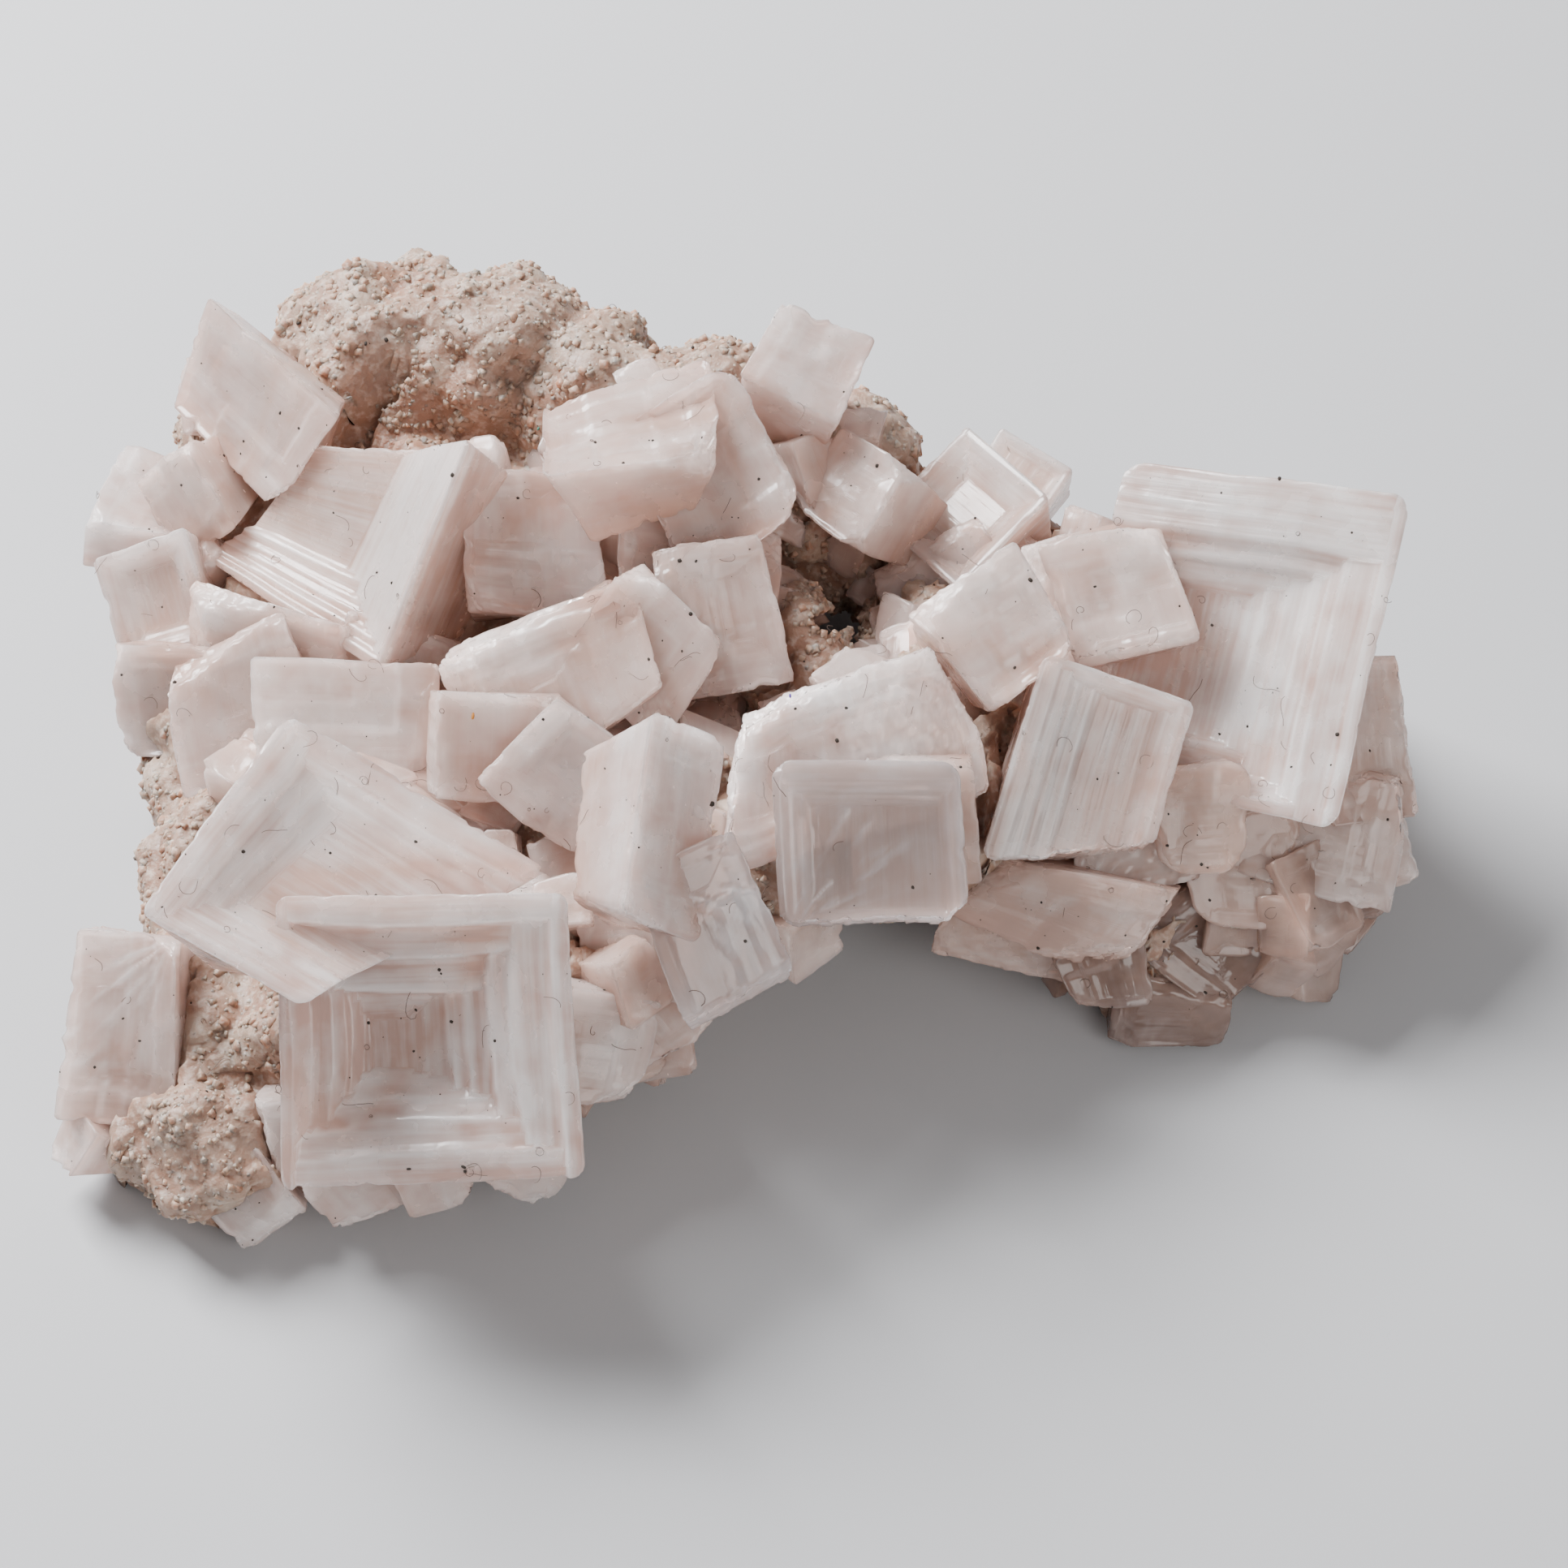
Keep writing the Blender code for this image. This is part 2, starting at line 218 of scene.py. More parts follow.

# %% [markdown]
# A finished piece is handed to Blender as arrays. Four values travel with each point: where it lies on
# the growth lines of its face, how milky it is, how much of the crust's peach colour it has taken, and how
# strongly the growth lines show. Milk and peach also carry painted light: painted shade in gaps and
# hollows, and painted highlights on ledges, ramps and edges.

# %% Putting arrays into a mesh
made_pieces = []


def make_piece(name, points, faces, finish, grain=None, milk=None, peach=None, streak=None, smooth=True):
    """A mesh object at the origin from points in mm, kept in the solid's box, and an array of faces."""
    mesh = bpy.data.meshes.new(name)
    points = np.clip(points, box_low, box_high)
    mesh.from_pydata([], [], [])
    mesh.vertices.add(len(points))
    mesh.vertices.foreach_set("co", (points * MM).astype(np.float32).ravel())
    corners = faces.shape[1]
    mesh.loops.add(faces.size)
    mesh.loops.foreach_set("vertex_index", faces.astype(np.int32).ravel())
    mesh.polygons.add(len(faces))
    mesh.polygons.foreach_set("loop_start", np.arange(0, faces.size, corners, dtype=np.int32))
    mesh.update(calc_edges=True)
    mesh.validate()
    for title, values in (("milk", milk), ("peach", peach), ("streak", streak)):
        if values is not None:
            layer = mesh.attributes.new(title, "FLOAT", "POINT")
            layer.data.foreach_set("value", values.astype(np.float32))
    if grain is not None:
        layer = mesh.attributes.new("grain", "FLOAT_VECTOR", "POINT")
        layer.data.foreach_set("vector", grain.astype(np.float32).ravel())
    if smooth:
        mesh.shade_smooth()
    mesh.materials.append(finish)
    piece = bpy.data.objects.new(name, mesh)
    bpy.context.scene.collection.objects.link(piece)
    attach(piece, BODY)
    made_pieces.append(piece)
    return piece


print("pieces so far", len(made_pieces))

# %% [markdown]
# Halite is clear when it is pure. What makes these crystals milky is tiny pockets of brine caught in
# bands as they grew. So the finish is a glossy skin over a body that scatters light inside (subsurface),
# with some light going straight through (transmission). Its colour runs from pinkish clear salt to white
# along the growth lines and in soft clouds, and the same lines and clouds roughen the skin. There are
# three such finishes, which differ in tint, in how much light goes through and in gloss. The third is
# the salt darkened, painted shade for the crystals low on the right.

# %% Crystal finish
REFRACTION = 1.544
CLEAR_TINT = (0.64, 0.44, 0.38, 1.0)
MILK_TINT = (0.95, 0.90, 0.88, 1.0)
PEACH_TINT = (0.80, 0.52, 0.40, 1.0)
GLASSY_TINTS = (0.70, 0.57, 0.53, 1.0), (0.90, 0.88, 0.89, 1.0)
# darkened copies of the tints: painted shade for the crystals low on the right
SHADE_DARKENED_TINTS = (0.27, 0.17, 0.14, 1.0), (0.62, 0.52, 0.49, 1.0)
LINE_SCALE = (1.9, 0.09, 1.0)        # growth lines to a mm across them and along them
CLOUD_SCALE = 380.0                  # clouds to a metre
SKIN_RELIEF = 0.16                   # in mm
SCATTER_COLOUR = (1.0, 0.95, 0.92)   # red light goes a little further inside the salt than blue


def add_node(tree, kind, inputs, output=0, **settings):
    """The output of a new shader node with these settings, its inputs linked or set."""
    node = tree.nodes.new("ShaderNode" + kind)
    for title, value in settings.items():
        setattr(node, title, value)
    fill_inputs(tree, node, inputs)
    return node.outputs[output]


def point_value(tree, title, output="Fac"):
    """One of the values stored on the mesh's points."""
    return add_node(tree, "Attribute", {}, output, attribute_name=title)


def noise_on(tree, vector, scale, detail=3.0):
    """A noise texture on the given coordinates."""
    return add_node(tree, "TexNoise", {"Vector": vector, "Scale": scale, "Detail": detail}, "Fac")


def maths(tree, operation, first, second, clamp=False):
    """Arithmetic on two values, each a socket or a number."""
    return add_node(tree, "Math", {0: first, 1: second}, operation=operation, use_clamp=clamp)


def mix_colours(tree, factor, first, second):
    """From the first colour to the second as the factor goes from 0 to 1, by the node's colour sockets."""
    return add_node(tree, "Mix", {"Factor": factor, 6: first, 7: second}, 2, data_type="RGBA")


def stretched(tree, value, low, high, to_low, to_high):
    """Stretch a value from one range to another, kept within it."""
    inputs = {"Value": value, "From Min": low, "From Max": high, "To Min": to_low, "To Max": to_high}
    return add_node(tree, "MapRange", inputs, "Result")


def bump(tree, height, distance, strength):
    """Lighting relief of the given depth in mm."""
    inputs = {"Height": height, "Distance": distance * MM, "Strength": strength}
    return add_node(tree, "Bump", inputs, "Normal")


def crystal_finish(name, clear_tint, milk_tint, see_through, scatter, gloss):
    """Salt crystal: white along its growth lines, peach where stained and in painted gap shade, with a finely
    lined skin.
    """
    made, tree, shader = new_material(name)
    milk, peach, streak = (point_value(tree, title) for title in ("milk", "peach", "streak"))
    lines = add_node(tree, "VectorMath", {0: point_value(tree, "grain", "Vector"), 1: LINE_SCALE}, "Vector",
                     operation="MULTIPLY")
    fine_lines = noise_on(tree, lines, 1.0, 2.0)
    clouds = noise_on(tree, add_node(tree, "TexCoord", {}, "Object"), CLOUD_SCALE)

    band = maths(tree, "MULTIPLY", stretched(tree, fine_lines, 0.35, 0.68, -0.18, 0.30), streak)
    cloud = stretched(tree, clouds, 0.3, 0.7, -0.28, 0.28)
    whiteness = maths(tree, "ADD", maths(tree, "ADD", milk, band), cloud, clamp=True)
    salt = mix_colours(tree, whiteness, clear_tint, milk_tint)
    stain = maths(tree, "MULTIPLY", peach, stretched(tree, clouds, 0.3, 0.7, 0.6, 1.0), clamp=True)
    relief = maths(tree, "ADD", maths(tree, "MULTIPLY", fine_lines, streak), clouds)
    shader.subsurface_method = "BURLEY"
    fill_inputs(tree, shader, {
        "Base Color": mix_colours(tree, stain, salt, PEACH_TINT),
        "Roughness": stretched(tree, clouds, 0.35, 0.65, gloss - 0.05, gloss + 0.12),
        "Normal": bump(tree, relief, SKIN_RELIEF, 0.7),
        "IOR": REFRACTION,
        "Subsurface Weight": 1.0,
        "Subsurface Radius": SCATTER_COLOUR,
        "Subsurface Scale": scatter * MM,
        "Transmission Weight": see_through,
    })
    return made


milky = crystal_finish("milky halite", CLEAR_TINT, MILK_TINT, 0.40, 3.4, 0.20)
glassy = crystal_finish("glassy halite", *GLASSY_TINTS, 0.60, 3.0, 0.10)
# the same salt darkened: painted shade
smoky = crystal_finish("smoky halite", *SHADE_DARKENED_TINTS, 0.50, 2.4, 0.12)
print("finishes", [m.name for m in (milky, glassy, smoky)])

# %% [markdown]
# Each crystal starts as a grid laid over the six faces of a box. The grid is numbered by whole steps
# along the box's three edges, so faces share the points where they meet and the shape is closed. The
# steps are finer near the edges, where the rounding needs them.

# %% A grid over a box
def box_grid(counts):
    """Whole-number places (i, j, k) of all points on the skin of a box, and its outward faces."""
    nx, ny, nz = counts
    faces = []
    for axis in range(3):
        one, two = (axis + 1) % 3, (axis + 2) % 3
        grid_one, grid_two = np.meshgrid(np.arange(counts[one]), np.arange(counts[two]), indexing="ij")
        for end in (0, counts[axis]):
            ring = ((0, 0), (1, 0), (1, 1), (0, 1))
            if end == 0:
                ring = ring[::-1]
            quad = []
            for step_one, step_two in ring:
                place = [None, None, None]
                place[axis] = np.full(grid_one.shape, end)
                place[one] = grid_one + step_one
                place[two] = grid_two + step_two
                quad.append((place[0] * (ny + 1) + place[1]) * (nz + 1) + place[2])
            faces.append(np.stack([q.ravel() for q in quad], axis=1))
    numbers, quads = np.unique(np.concatenate(faces), return_inverse=True)
    quads = quads.reshape(-1, 4)
    places = (numbers // ((ny + 1) * (nz + 1)), numbers // (nz + 1) % (ny + 1), numbers % (nz + 1))
    return np.stack(places, axis=1), quads


def crowd_to_ends(part, amount=0.45):
    """Move places from 0 to 1 towards both ends: t - amount sin(2 pi t) / 2 pi."""
    return part - amount * np.sin(2.0 * np.pi * part) / (2.0 * np.pi)


test_places, test_quads = box_grid((2, 2, 2))
print("a box of 2 steps a side has", len(test_places), "points and", len(test_quads), "faces")

# %% [markdown]
# A hopper face is four stepped walls going down to a pit. Each wall is one profile, seen from the side:
# level ledges and steep risers of uneven size. The height of the face is the highest of the four walls
# at each point, so the walls meet in mitred corners by themselves, and the floor is where all have ended.

# %% Stepped walls
RISER_RUN = 0.30             # how far a riser leans, in mm
LEDGE_LIP = 0.10             # how much a ledge rises to its inner edge, in mm
WANDER = 0.12                # how far a ledge's edge strays from straight, in mm


def wall_profile(inward, along, run, rim, depth, ledges, ramp, bow, seed):
    """How far below the rim a wall is, and how close to a ledge's inner edge, by distance inward.

    Ledge edges sit at uneven places from the rim to the end of the run, each a share of the depth lower
    than the last. Before they are looked up, the inward distance grows towards the wall's two ends, by
    the bow times the squared share of the way along, which curves each ledge like a lens.
    """
    random = np.random.default_rng(seed)
    spots = np.cumsum(random.uniform(0.5, 1.5, ledges + 1))
    spots = rim + (run - rim) * (spots[:-1] - spots[0]) / max(spots[-1] - spots[0], 1e-6)
    drops = random.uniform(0.4, 1.6, ledges)
    drops = np.cumsum(drops / drops.sum()) * depth
    places, depths, crests = [0.0], [0.0], [0.0]
    for step in range(ledges):
        before = depths[-1]
        places += [spots[step], spots[step] + RISER_RUN]
        depths += [max(before - LEDGE_LIP, 0.0) if step else 0.0, drops[step]]
        crests += [1.0, 0.0]
    far = np.abs(along).max()
    wander = slice_noise(along * 0.06, inward * 0.35, seed * 0.37, seed)
    moved = inward + (WANDER * wander + bow * (along / far) ** 2) * soft_step(inward, rim * 0.4, rim + 0.8)
    stairs = np.interp(moved, places, depths)
    slope = np.interp(inward, [0.0, rim, max(run, rim + 0.1)], [0.0, 0.0, depth])
    return stairs * (1.0 - ramp) + slope * ramp, np.interp(moved, places, crests) ** 2


print("one wall at 0, 1, 2 and 3 mm in:", wall_profile(
    np.array([0.0, 1.0, 2.0, 3.0]), np.ones(4), 3.0, 0.5, 2.0, 4, 0.0, 0.0, 7)[0].round(2))

# %% [markdown]
# The crystals stand where the solid has them. Each row gives the middle of the sunk face, the cube's
# size, its turn (which compass way the face looks, how far it leans, and its spin), and the number of
# steps in its face. The corners of the cube stray a little, by smooth noise at their places, because no
# crystal here grew quite square.

# %% Where the crystals stand
CRYSTALS = (
    ("back_left_wall", (-37.5, 18.5, 19), (14, 9, 5), (-131, 65, 89), 0),
    ("left_bright_cube", (-45, 16.5, 12.5), (8, 8, 5), (62, 19, 15), 0),
    ("left_stepped_cube", (-44, 7, 12.5), (7.5, 8, 7), (-112, 41, 123), 2),
    ("left_peach_cube", (-42.5, 13.5, 15), (6.5, 6.5, 7), (-114, 60, 138), 0),
    ("big_back_hopper", (-31, 9.5, 20), (17.5, 19.5, 11), (-141, 46, -171), 2),
    ("cream_slab", (-10.5, 11, 26.5), (13, 9, 6), (118, 14, -103), 0),
    ("rounded_back_cube", (-4, 9, 24), (10.5, 12, 9), (-85, 36, 119), 0),
    ("top_right_cube", (2, 19, 24.5), (7, 7, 9), (-34, 15, -164), 0),
    ("tan_cube", (4.5, 12, 19.5), (7, 7, 9), (-159, 36, -62), 0),
    ("far_double_hopper", (12.5, 12.5, 16), (9, 9, 9), (-152, 19, 103), 2),
    ("far_second", (11, 7, 13.5), (9, 8, 7), (-95, 36, 118), 0),
    ("far_small_hopper", (16.5, 17, 13), (6, 6, 7), (-114, 30, 74), 1),
    ("far_dice", (20.5, 11.5, 14), (4, 4, 5), (-158, 50, 128), 0),
    ("great_right_hopper", (30, -3, 21), (20.5, 22.5, 9), (-120, 30, -78), 2),
    ("right_under_cube", (40, -7.5, 16), (8, 11, 8), (-62, 39, 72), 0),
    ("right_under_slab", (35.5, -12.5, 13), (11.5, 8, 8), (-86, 45, 73), 0),
    ("striped_cube", (20.5, -13, 18.5), (11.5, 14, 8), (-77, 41, 64), 1),
    ("clear_cube", (5.5, -21.5, 23), (12.5, 12, 8), (-93, 46, 95), 2),
    ("long_slab", (5, -14.5, 25), (21, 10, 7), (-88, 30, 101), 0),
    ("flared_peak", (14, -5, 24.5), (9, 8.5, 8), (-84, 31, 119), 0),
    ("under_ledge_cube", (22, 1.5, 18), (11, 11, 8), (-100, 37, 115), 0),
    ("tall_front_block", (-7, -23, 27), (7.5, 14, 7), (-20, 55, 22), 0),
    ("front_blade", (-4.5, -28, 22), (7.5, 11, 6), (-73, 43, 100), 0),
    ("front_left_hopper", (-28, -28, 28), (19.5, 18, 12), (-36, 17, 4), 2),
    ("star_hopper", (-22.5, -35.5, 21.5), (18.5, 19.5, 10), (-95, 48, 96), 4),
    ("striated_fan", (-43.5, -28, 11), (8, 13, 8), (-103, 43, 99), 0),
    ("left_ridge", (-36, 1.5, 12.5), (13, 7.5, 9), (-99, 42, 80), 0),
    ("left_speckled", (-37.5, -2.5, 12), (10, 10, 8), (-98, 45, 108), 0),
    ("left_low", (-43, 0, 9.5), (7, 8.5, 7), (-111, 56, 110), 0),
    ("left_slab", (-30, -8, 15.5), (12, 9, 9), (-90, 42, 87), 0),
    ("middle_plate", (-16, -6.5, 21.5), (14.5, 11, 9), (-95, 33, 117), 0),
    ("middle_peak", (-9, -4.5, 22), (8.5, 9, 9), (-86, 42, 131), 0),
    ("middle_cream", (-4, -0.5, 19.5), (8.5, 11, 9), (-81, 38, 95), 0),
    ("middle_shelf", (-5.5, 4, 19), (11.5, 8, 7), (-90, 30, 85), 0),
    ("middle_lump", (-20, -11, 19.5), (9, 7.5, 8), (-98, 45, 95), 0),
    ("middle_white", (-14.5, -14, 20.5), (7.5, 8, 8), (-90, 45, 144), 0),
    ("middle_flank", (-17, 6.5, 18.5), (10, 11, 9), (-58, 34, 62), 0),
    ("middle_hollow", (-9, 9.5, 16), (10, 8, 8), (-90, 36, 94), 0),
    ("front_low_a", (-10.5, -24, 14.5), (8, 8, 8), (-97, 54, 95), 0),
    ("front_low_b", (-8.5, -27, 11), (6.5, 6.5, 8), (-90, 53, 123), 0),
    ("front_low_tip", (-10, -27.5, 8), (8.5, 6, 7), (-90, 60, 100), 0),
    ("right_foot_slab", (16, -19.5, 7.5), (11.5, 5.5, 8), (-93, 58, 76), 0),
    ("right_long_bar", (18, -18.5, 11.5), (14, 7, 9), (-94, 48, 76), 0),
    ("right_foot_a", (21.5, -20.5, 7), (6.5, 6.5, 8), (-90, 53, 107), 0),
    ("right_ribbed", (29, -18.5, 7.5), (9, 9, 9), (-75, 49, 34), 0),
    ("right_foot_b", (26, -21.5, 3.5), (9, 6.5, 8), (-87, 60, 87), 0),
    ("right_knob", (31, -16, 12), (7.5, 7.5, 8), (-86, 45, 92), 0),
    ("right_peach", (28, -13.5, 15), (7, 7.5, 8), (-90, 42, 93), 0),
    ("right_inner", (24, -14.5, 14), (8.5, 7.5, 8), (-90, 42, 95), 0),
    ("right_edge_a", (41, -12, 10.5), (6, 6.5, 7), (-57, 47, 72), 0),
    ("right_edge_b", (37, -15.5, 9), (9.5, 7, 8), (-76, 55, 86), 0),
    ("low_left_a", (-35.5, -37, 5), (6, 6, 7), (-100, 50, 45), 0),
    ("low_left_b", (-28.5, -37.5, 7), (7, 5, 7), (-95, 70, 30), 0),
    ("low_left_c", (-23, -37.5, 8), (7, 5, 7), (-80, 75, 10), 0),
    ("low_left_d", (-17, -36.5, 8), (7, 5, 7), (-70, 70, 40), 0),
    ("low_left_e", (-47, -32.5, 5), (4, 4, 6), (-160, 50, 20), 0),
    ("low_left_f", (-32, -35, 8.5), (6, 5, 7), (-100, 60, 20), 0),
    ("back_left_fin", (-40.5, 23.5, 16.5), (6, 8.5, 6), (-150, 40, 60), 0),
    ("shade_block", (-27.5, 0, 11.5), (9, 8, 8), (-85, 45, 70), 0),
    ("left_back_block", (-44.5, 12, 10.5), (9, 9, 8), (-160, 45, 10), 0),
    ("star_flank", (-13, -30, 12), (9, 9, 8), (-70, 55, 60), 0),
    ("far_under_block", (17, 5, 13), (9, 8, 8), (-110, 40, 60), 0),
    ("slab_foot", (9, -17, 18.5), (9, 9, 9), (-95, 60, 95), 0),
    ("ledge_foot", (38, -5, 12), (8, 8, 8), (-60, 50, 20), 0),
    ("inner_facet", (23, -1, 22.5), (8.5, 8.5, 8), (-101, 31, 115), 0),
)
TO_PART_FRAME = np.array((2.95, 2.63, 0.0))
ROOT = 0.75                  # a crystal's buried end is narrower than its face by this
FLARED = {                   # crystals that flare out from a thinner root
    "front_left_hopper": 0.5, "star_hopper": 0.6, "great_right_hopper": 0.72, "rounded_back_cube": 0.6,
    "clear_cube": 0.6, "long_slab": 0.6, "big_back_hopper": 0.7,
}
WEAR, LOOSE_WEAR = 0.12, 0.24        # how far a hopper's and a plain cube's corners stray
STRAY_PITCH = 0.37
STRAY_SHIFTS = (Vector((0, 0, 0)), Vector((31, 7, 5)), Vector((3, 41, 17)))
DRAWN_IN = {                 # crystals with one corner drawn in: which one, and how far in mm
    "front_left_hopper": ((1, -1), (-5.0, 1.5)), "big_back_hopper": ((1, 1), (-6.5, -4.0)),
}


def facing(turn):
    """Rows of the turn that takes a crystal's own frame to the specimen's: compass, lean, then spin."""
    compass, tilt, spin = (math.radians(angle) for angle in turn)
    turned = Matrix.Rotation(compass, 3, "Z") @ Matrix.Rotation(tilt, 3, "Y") @ Matrix.Rotation(spin, 3, "Z")
    return np.array(turned)


def stray_corners(name, place, size, steps):
    """The eight corners of one cube in its own frame, as an array indexed [x end][y end][z end]."""
    width, height, length = size
    corner, inward = DRAWN_IN.get(name, ((0, 0), (0, 0)))
    corners = np.zeros((2, 2, 2, 3))
    for ends in np.ndindex(2, 2, 2):
        side = Vector((ends[0] * 2 - 1, ends[1] * 2 - 1, 0))
        narrow = 1.0 if ends[2] else FLARED.get(name, ROOT)
        spot = Vector((side.x * width / 2 * narrow, side.y * height / 2 * narrow, 0.0 if ends[2] else -length))
        seen = (spot + Vector(place)) * STRAY_PITCH
        stray = Vector([noise.noise(seen + shift) for shift in STRAY_SHIFTS])
        spot += stray * width * (WEAR if steps else LOOSE_WEAR)
        if side.x * corner[0] > 0 and side.y * corner[1] > 0:
            spot += Vector((inward[0], inward[1], 0.0))
        corners[ends] = spot
    return corners


print(len(CRYSTALS), "crystals; one corner of the first:",
      stray_corners("first", *CRYSTALS[0][1:3], 0)[1, 1, 1].round(2))

# %% [markdown]
# What makes each crystal itself. A wall's row holds the shares of the width that its run and its rim
# take, the number of ledges, how much it is a smooth ramp (0 to 1), how low its rim stayed as a share of
# the width, and how much whiter it is, partly milky bands and partly painted highlight on lit walls. The
# other values are these:
#
# - depth: how deep the face is sunk, and bend: how far the whole crystal is bent, as shares of the width.
# - bow: how much each ledge curves, and corner: the radius of the four upright edges, in mm.
# - plates: how deep the stacked growth plates show, and wear: how ragged the edges are, in mm.
# - terraces, breaks: how many shallow ledges a plain face has, and how many of its corners are broken.
# - snaps: breaks given one by one, each a direction and the share of the width that is lost.
# - rays, ripples: the corner from which bright lines or waves spread, and how far they reach, in mm.
# - milk, peach: how white and how stained the salt is, edge and streak: how white its edges are (partly
#   painted highlight along the rims) and how strongly the growth lines show, all from 0 to 1.

# %% The crystals' own looks
STEP_RUN, STEP_DROP = 0.105, 0.075
FLAT_RUNS = (0.04, 0.55)     # the shallow ledges of a plain face run in by a share in this range
FLAT_DEPTH = 0.022
SIDES = ("+x", "-x", "+y", "-y")
PLAIN_LOOK = {
    "depth": FLAT_DEPTH, "bend": 0.03, "bow": 0.1, "corner": 0.4, "plates": 0.22, "wear": 1.1,
    "terraces": 5, "breaks": 4, "snaps": (), "rays": None, "ripples": None,
    "milk": 0.46, "peach": 0.22, "edge": 0.12, "streak": 0.3, "finish": "milky",
}
HOPPER_LOOK = {
    "bend": 0.012, "plates": 0.12, "wear": 0.7, "terraces": 0, "breaks": 0, "edge": 0.45, "streak": 1.0,
}
# each wall's last value, its whiteness, is partly milky bands and partly painted highlight on lit walls
LOOKS = {
    "star_hopper": {
        "depth": 0.25, "milk": 0.16, "peach": 0.06, "wear": 0.5, "bow": 1.1, "corner": 0.9,
        "+x": (0.60, 0.07, 5, 0.25, 0.0, 1.0), "-x": (0.26, 0.05, 3, 0.1, 0.0, 0.35),
        "+y": (0.50, 0.11, 3, 0.2, 0.0, 1.0), "-y": (0.36, 0.12, 3, 0.5, 0.02, 0.8),
    },
    "great_right_hopper": {
        "depth": 0.13, "milk": 0.38, "peach": 0.0, "wear": 0.8, "corner": 1.4, "bow": 0.1,
        "-x": (0.52, 0.05, 6, 0.45, 0.0, 0.7), "-y": (0.38, 0.22, 3, 0.3, 0.0, 0.7),
        "+x": (0.12, 0.02, 2, 0.3, 0.05, 0.1), "+y": (0.27, 0.05, 3, 0.4, 0.02, 0.2),
    },
    "big_back_hopper": {
        "depth": 0.14, "milk": 0.3, "peach": 0.25, "wear": 0.6, "corner": 0.9, "bow": 0.2,
        "-y": (0.50, 0.03, 2, 0.9, 0.0, 0.9), "-x": (0.32, 0.05, 5, 0.1, 0.0, 0.35),
        "+x": (0.14, 0.03, 2, 0.3, 0.12, 0.2), "+y": (0.10, 0.03, 2, 0.2, 0.20, 0.0),
    },
    "front_left_hopper": {
        "depth": 0.14, "milk": 0.42, "peach": 0.10, "wear": 0.5, "corner": 1.0, "bow": 0.5,
        "-x": (0.34, 0.04, 3, 0.55, 0.0, 0.55), "+y": (0.14, 0.03, 3, 0.1, 0.0, 0.3),
        "-y": (0.30, 0.05, 4, 0.3, 0.03, 0.2), "+x": (0.12, 0.03, 2, 0.4, 0.14, 0.0),
    },
    "clear_cube": {
        "depth": 0.13, "milk": 0.14, "peach": 0.10, "finish": "glassy", "corner": 1.3, "streak": 0.6,
        "-x": (0.17, 0.05, 3, 0.2, 0.0, 0.3), "+y": (0.26, 0.10, 2, 0.4, 0.0, 0.3),
        "+x": (0.10, 0.03, 2, 0.1, 0.0, 0.3), "-y": (0.10, 0.03, 2, 0.1, 0.0, 0.3),
        "rays": (-1, -1, 12.0), "snaps": ((0.8, -0.9, 0.5, 0.15), (0.0, -1.0, 0.9, 0.10)),
    },
    "striped_cube": {
        "depth": 0.10, "milk": 0.35, "peach": 0.06, "wear": 1.0, "corner": 0.8,
        "-x": (0.48, 0.03, 5, 0.4, 0.0, 0.5), "+y": (0.12, 0.03, 2, 0.2, 0.0, 0.2),
        "+x": (0.2, 0.03, 3, 0.2, 0.0, 0.2), "-y": (0.10, 0.03, 2, 0.4, 0.03, 0.1),
        "snaps": ((0.35, -1.0, 0.5, 0.30), (0.9, -0.8, 0.2, 0.16)),
    },
    "long_slab": {
        "depth": 0.035, "milk": 0.5, "peach": 0.06, "wear": 0.7,
        "+y": (0.16, 0.01, 3, 0.3, 0.0, 0.2), "-y": (0.14, 0.01, 3, 0.4, 0.0, 0.2),
        "+x": (0.2, 0.02, 2, 0.5, 0.0, 0.0), "-x": (0.05, 0.01, 2, 0.3, 0.0, 0.1),
    },
    "back_left_wall": {"depth": 0.004, "breaks": 1, "plates": 0.2},
    "rounded_back_cube": {"breaks": 1, "corner": 2.6, "milk": 0.3, "peach": 0.12},
    "middle_plate": {"plates": 0.3, "milk": 0.5},
    "middle_peak": {"ripples": (-1, -1, 4.0)},
    "front_blade": {"milk": 0.2, "peach": 0.05, "finish": "glassy", "rays": (-1, 1, 11.0), "breaks": 1},
    "tall_front_block": {"breaks": 1, "milk": 0.5, "peach": 0.02, "plates": 0.2, "corner": 0.9},
    "left_bright_cube": {"milk": 0.7, "peach": 0.0},
    "left_peach_cube": {"peach": 0.35},
    "cream_slab": {"breaks": 1, "milk": 0.4, "peach": 0.3, "corner": 0.9},
    "tan_cube": {"peach": 0.3},
    "left_speckled": {"milk": 0.3},
    # the darkened finish on these crystals low on the right is painted shade
    "right_ribbed": {"finish": "smoky", "milk": 0.2, "peach": 0.15, "plates": 0.4},
    "right_foot_b": {"finish": "smoky", "milk": 0.15, "peach": 0.15},
    "right_edge_b": {"finish": "smoky", "milk": 0.25, "peach": 0.15},
    "right_knob": {"milk": 0.1, "peach": 0.35, "corner": 2.0},
    "right_peach": {"peach": 0.4, "corner": 1.9},
    "right_foot_slab": {"milk": 0.1, "peach": 0.35, "wear": 1.3},
    "right_foot_a": {"finish": "smoky", "milk": 0.3, "peach": 0.1},
    "right_long_bar": {"milk": 0.15, "peach": 0.3},
    "top_right_cube": {"breaks": 1, "milk": 0.3, "peach": 0.02},
    "striated_fan": {"breaks": 1, "plates": 0.3, "milk": 0.4, "rays": (1, 1, 13.0)},
    "middle_flank": {"plates": 0.2},
    "middle_hollow": {"peach": 0.5},
    "middle_white": {"milk": 0.6},
}


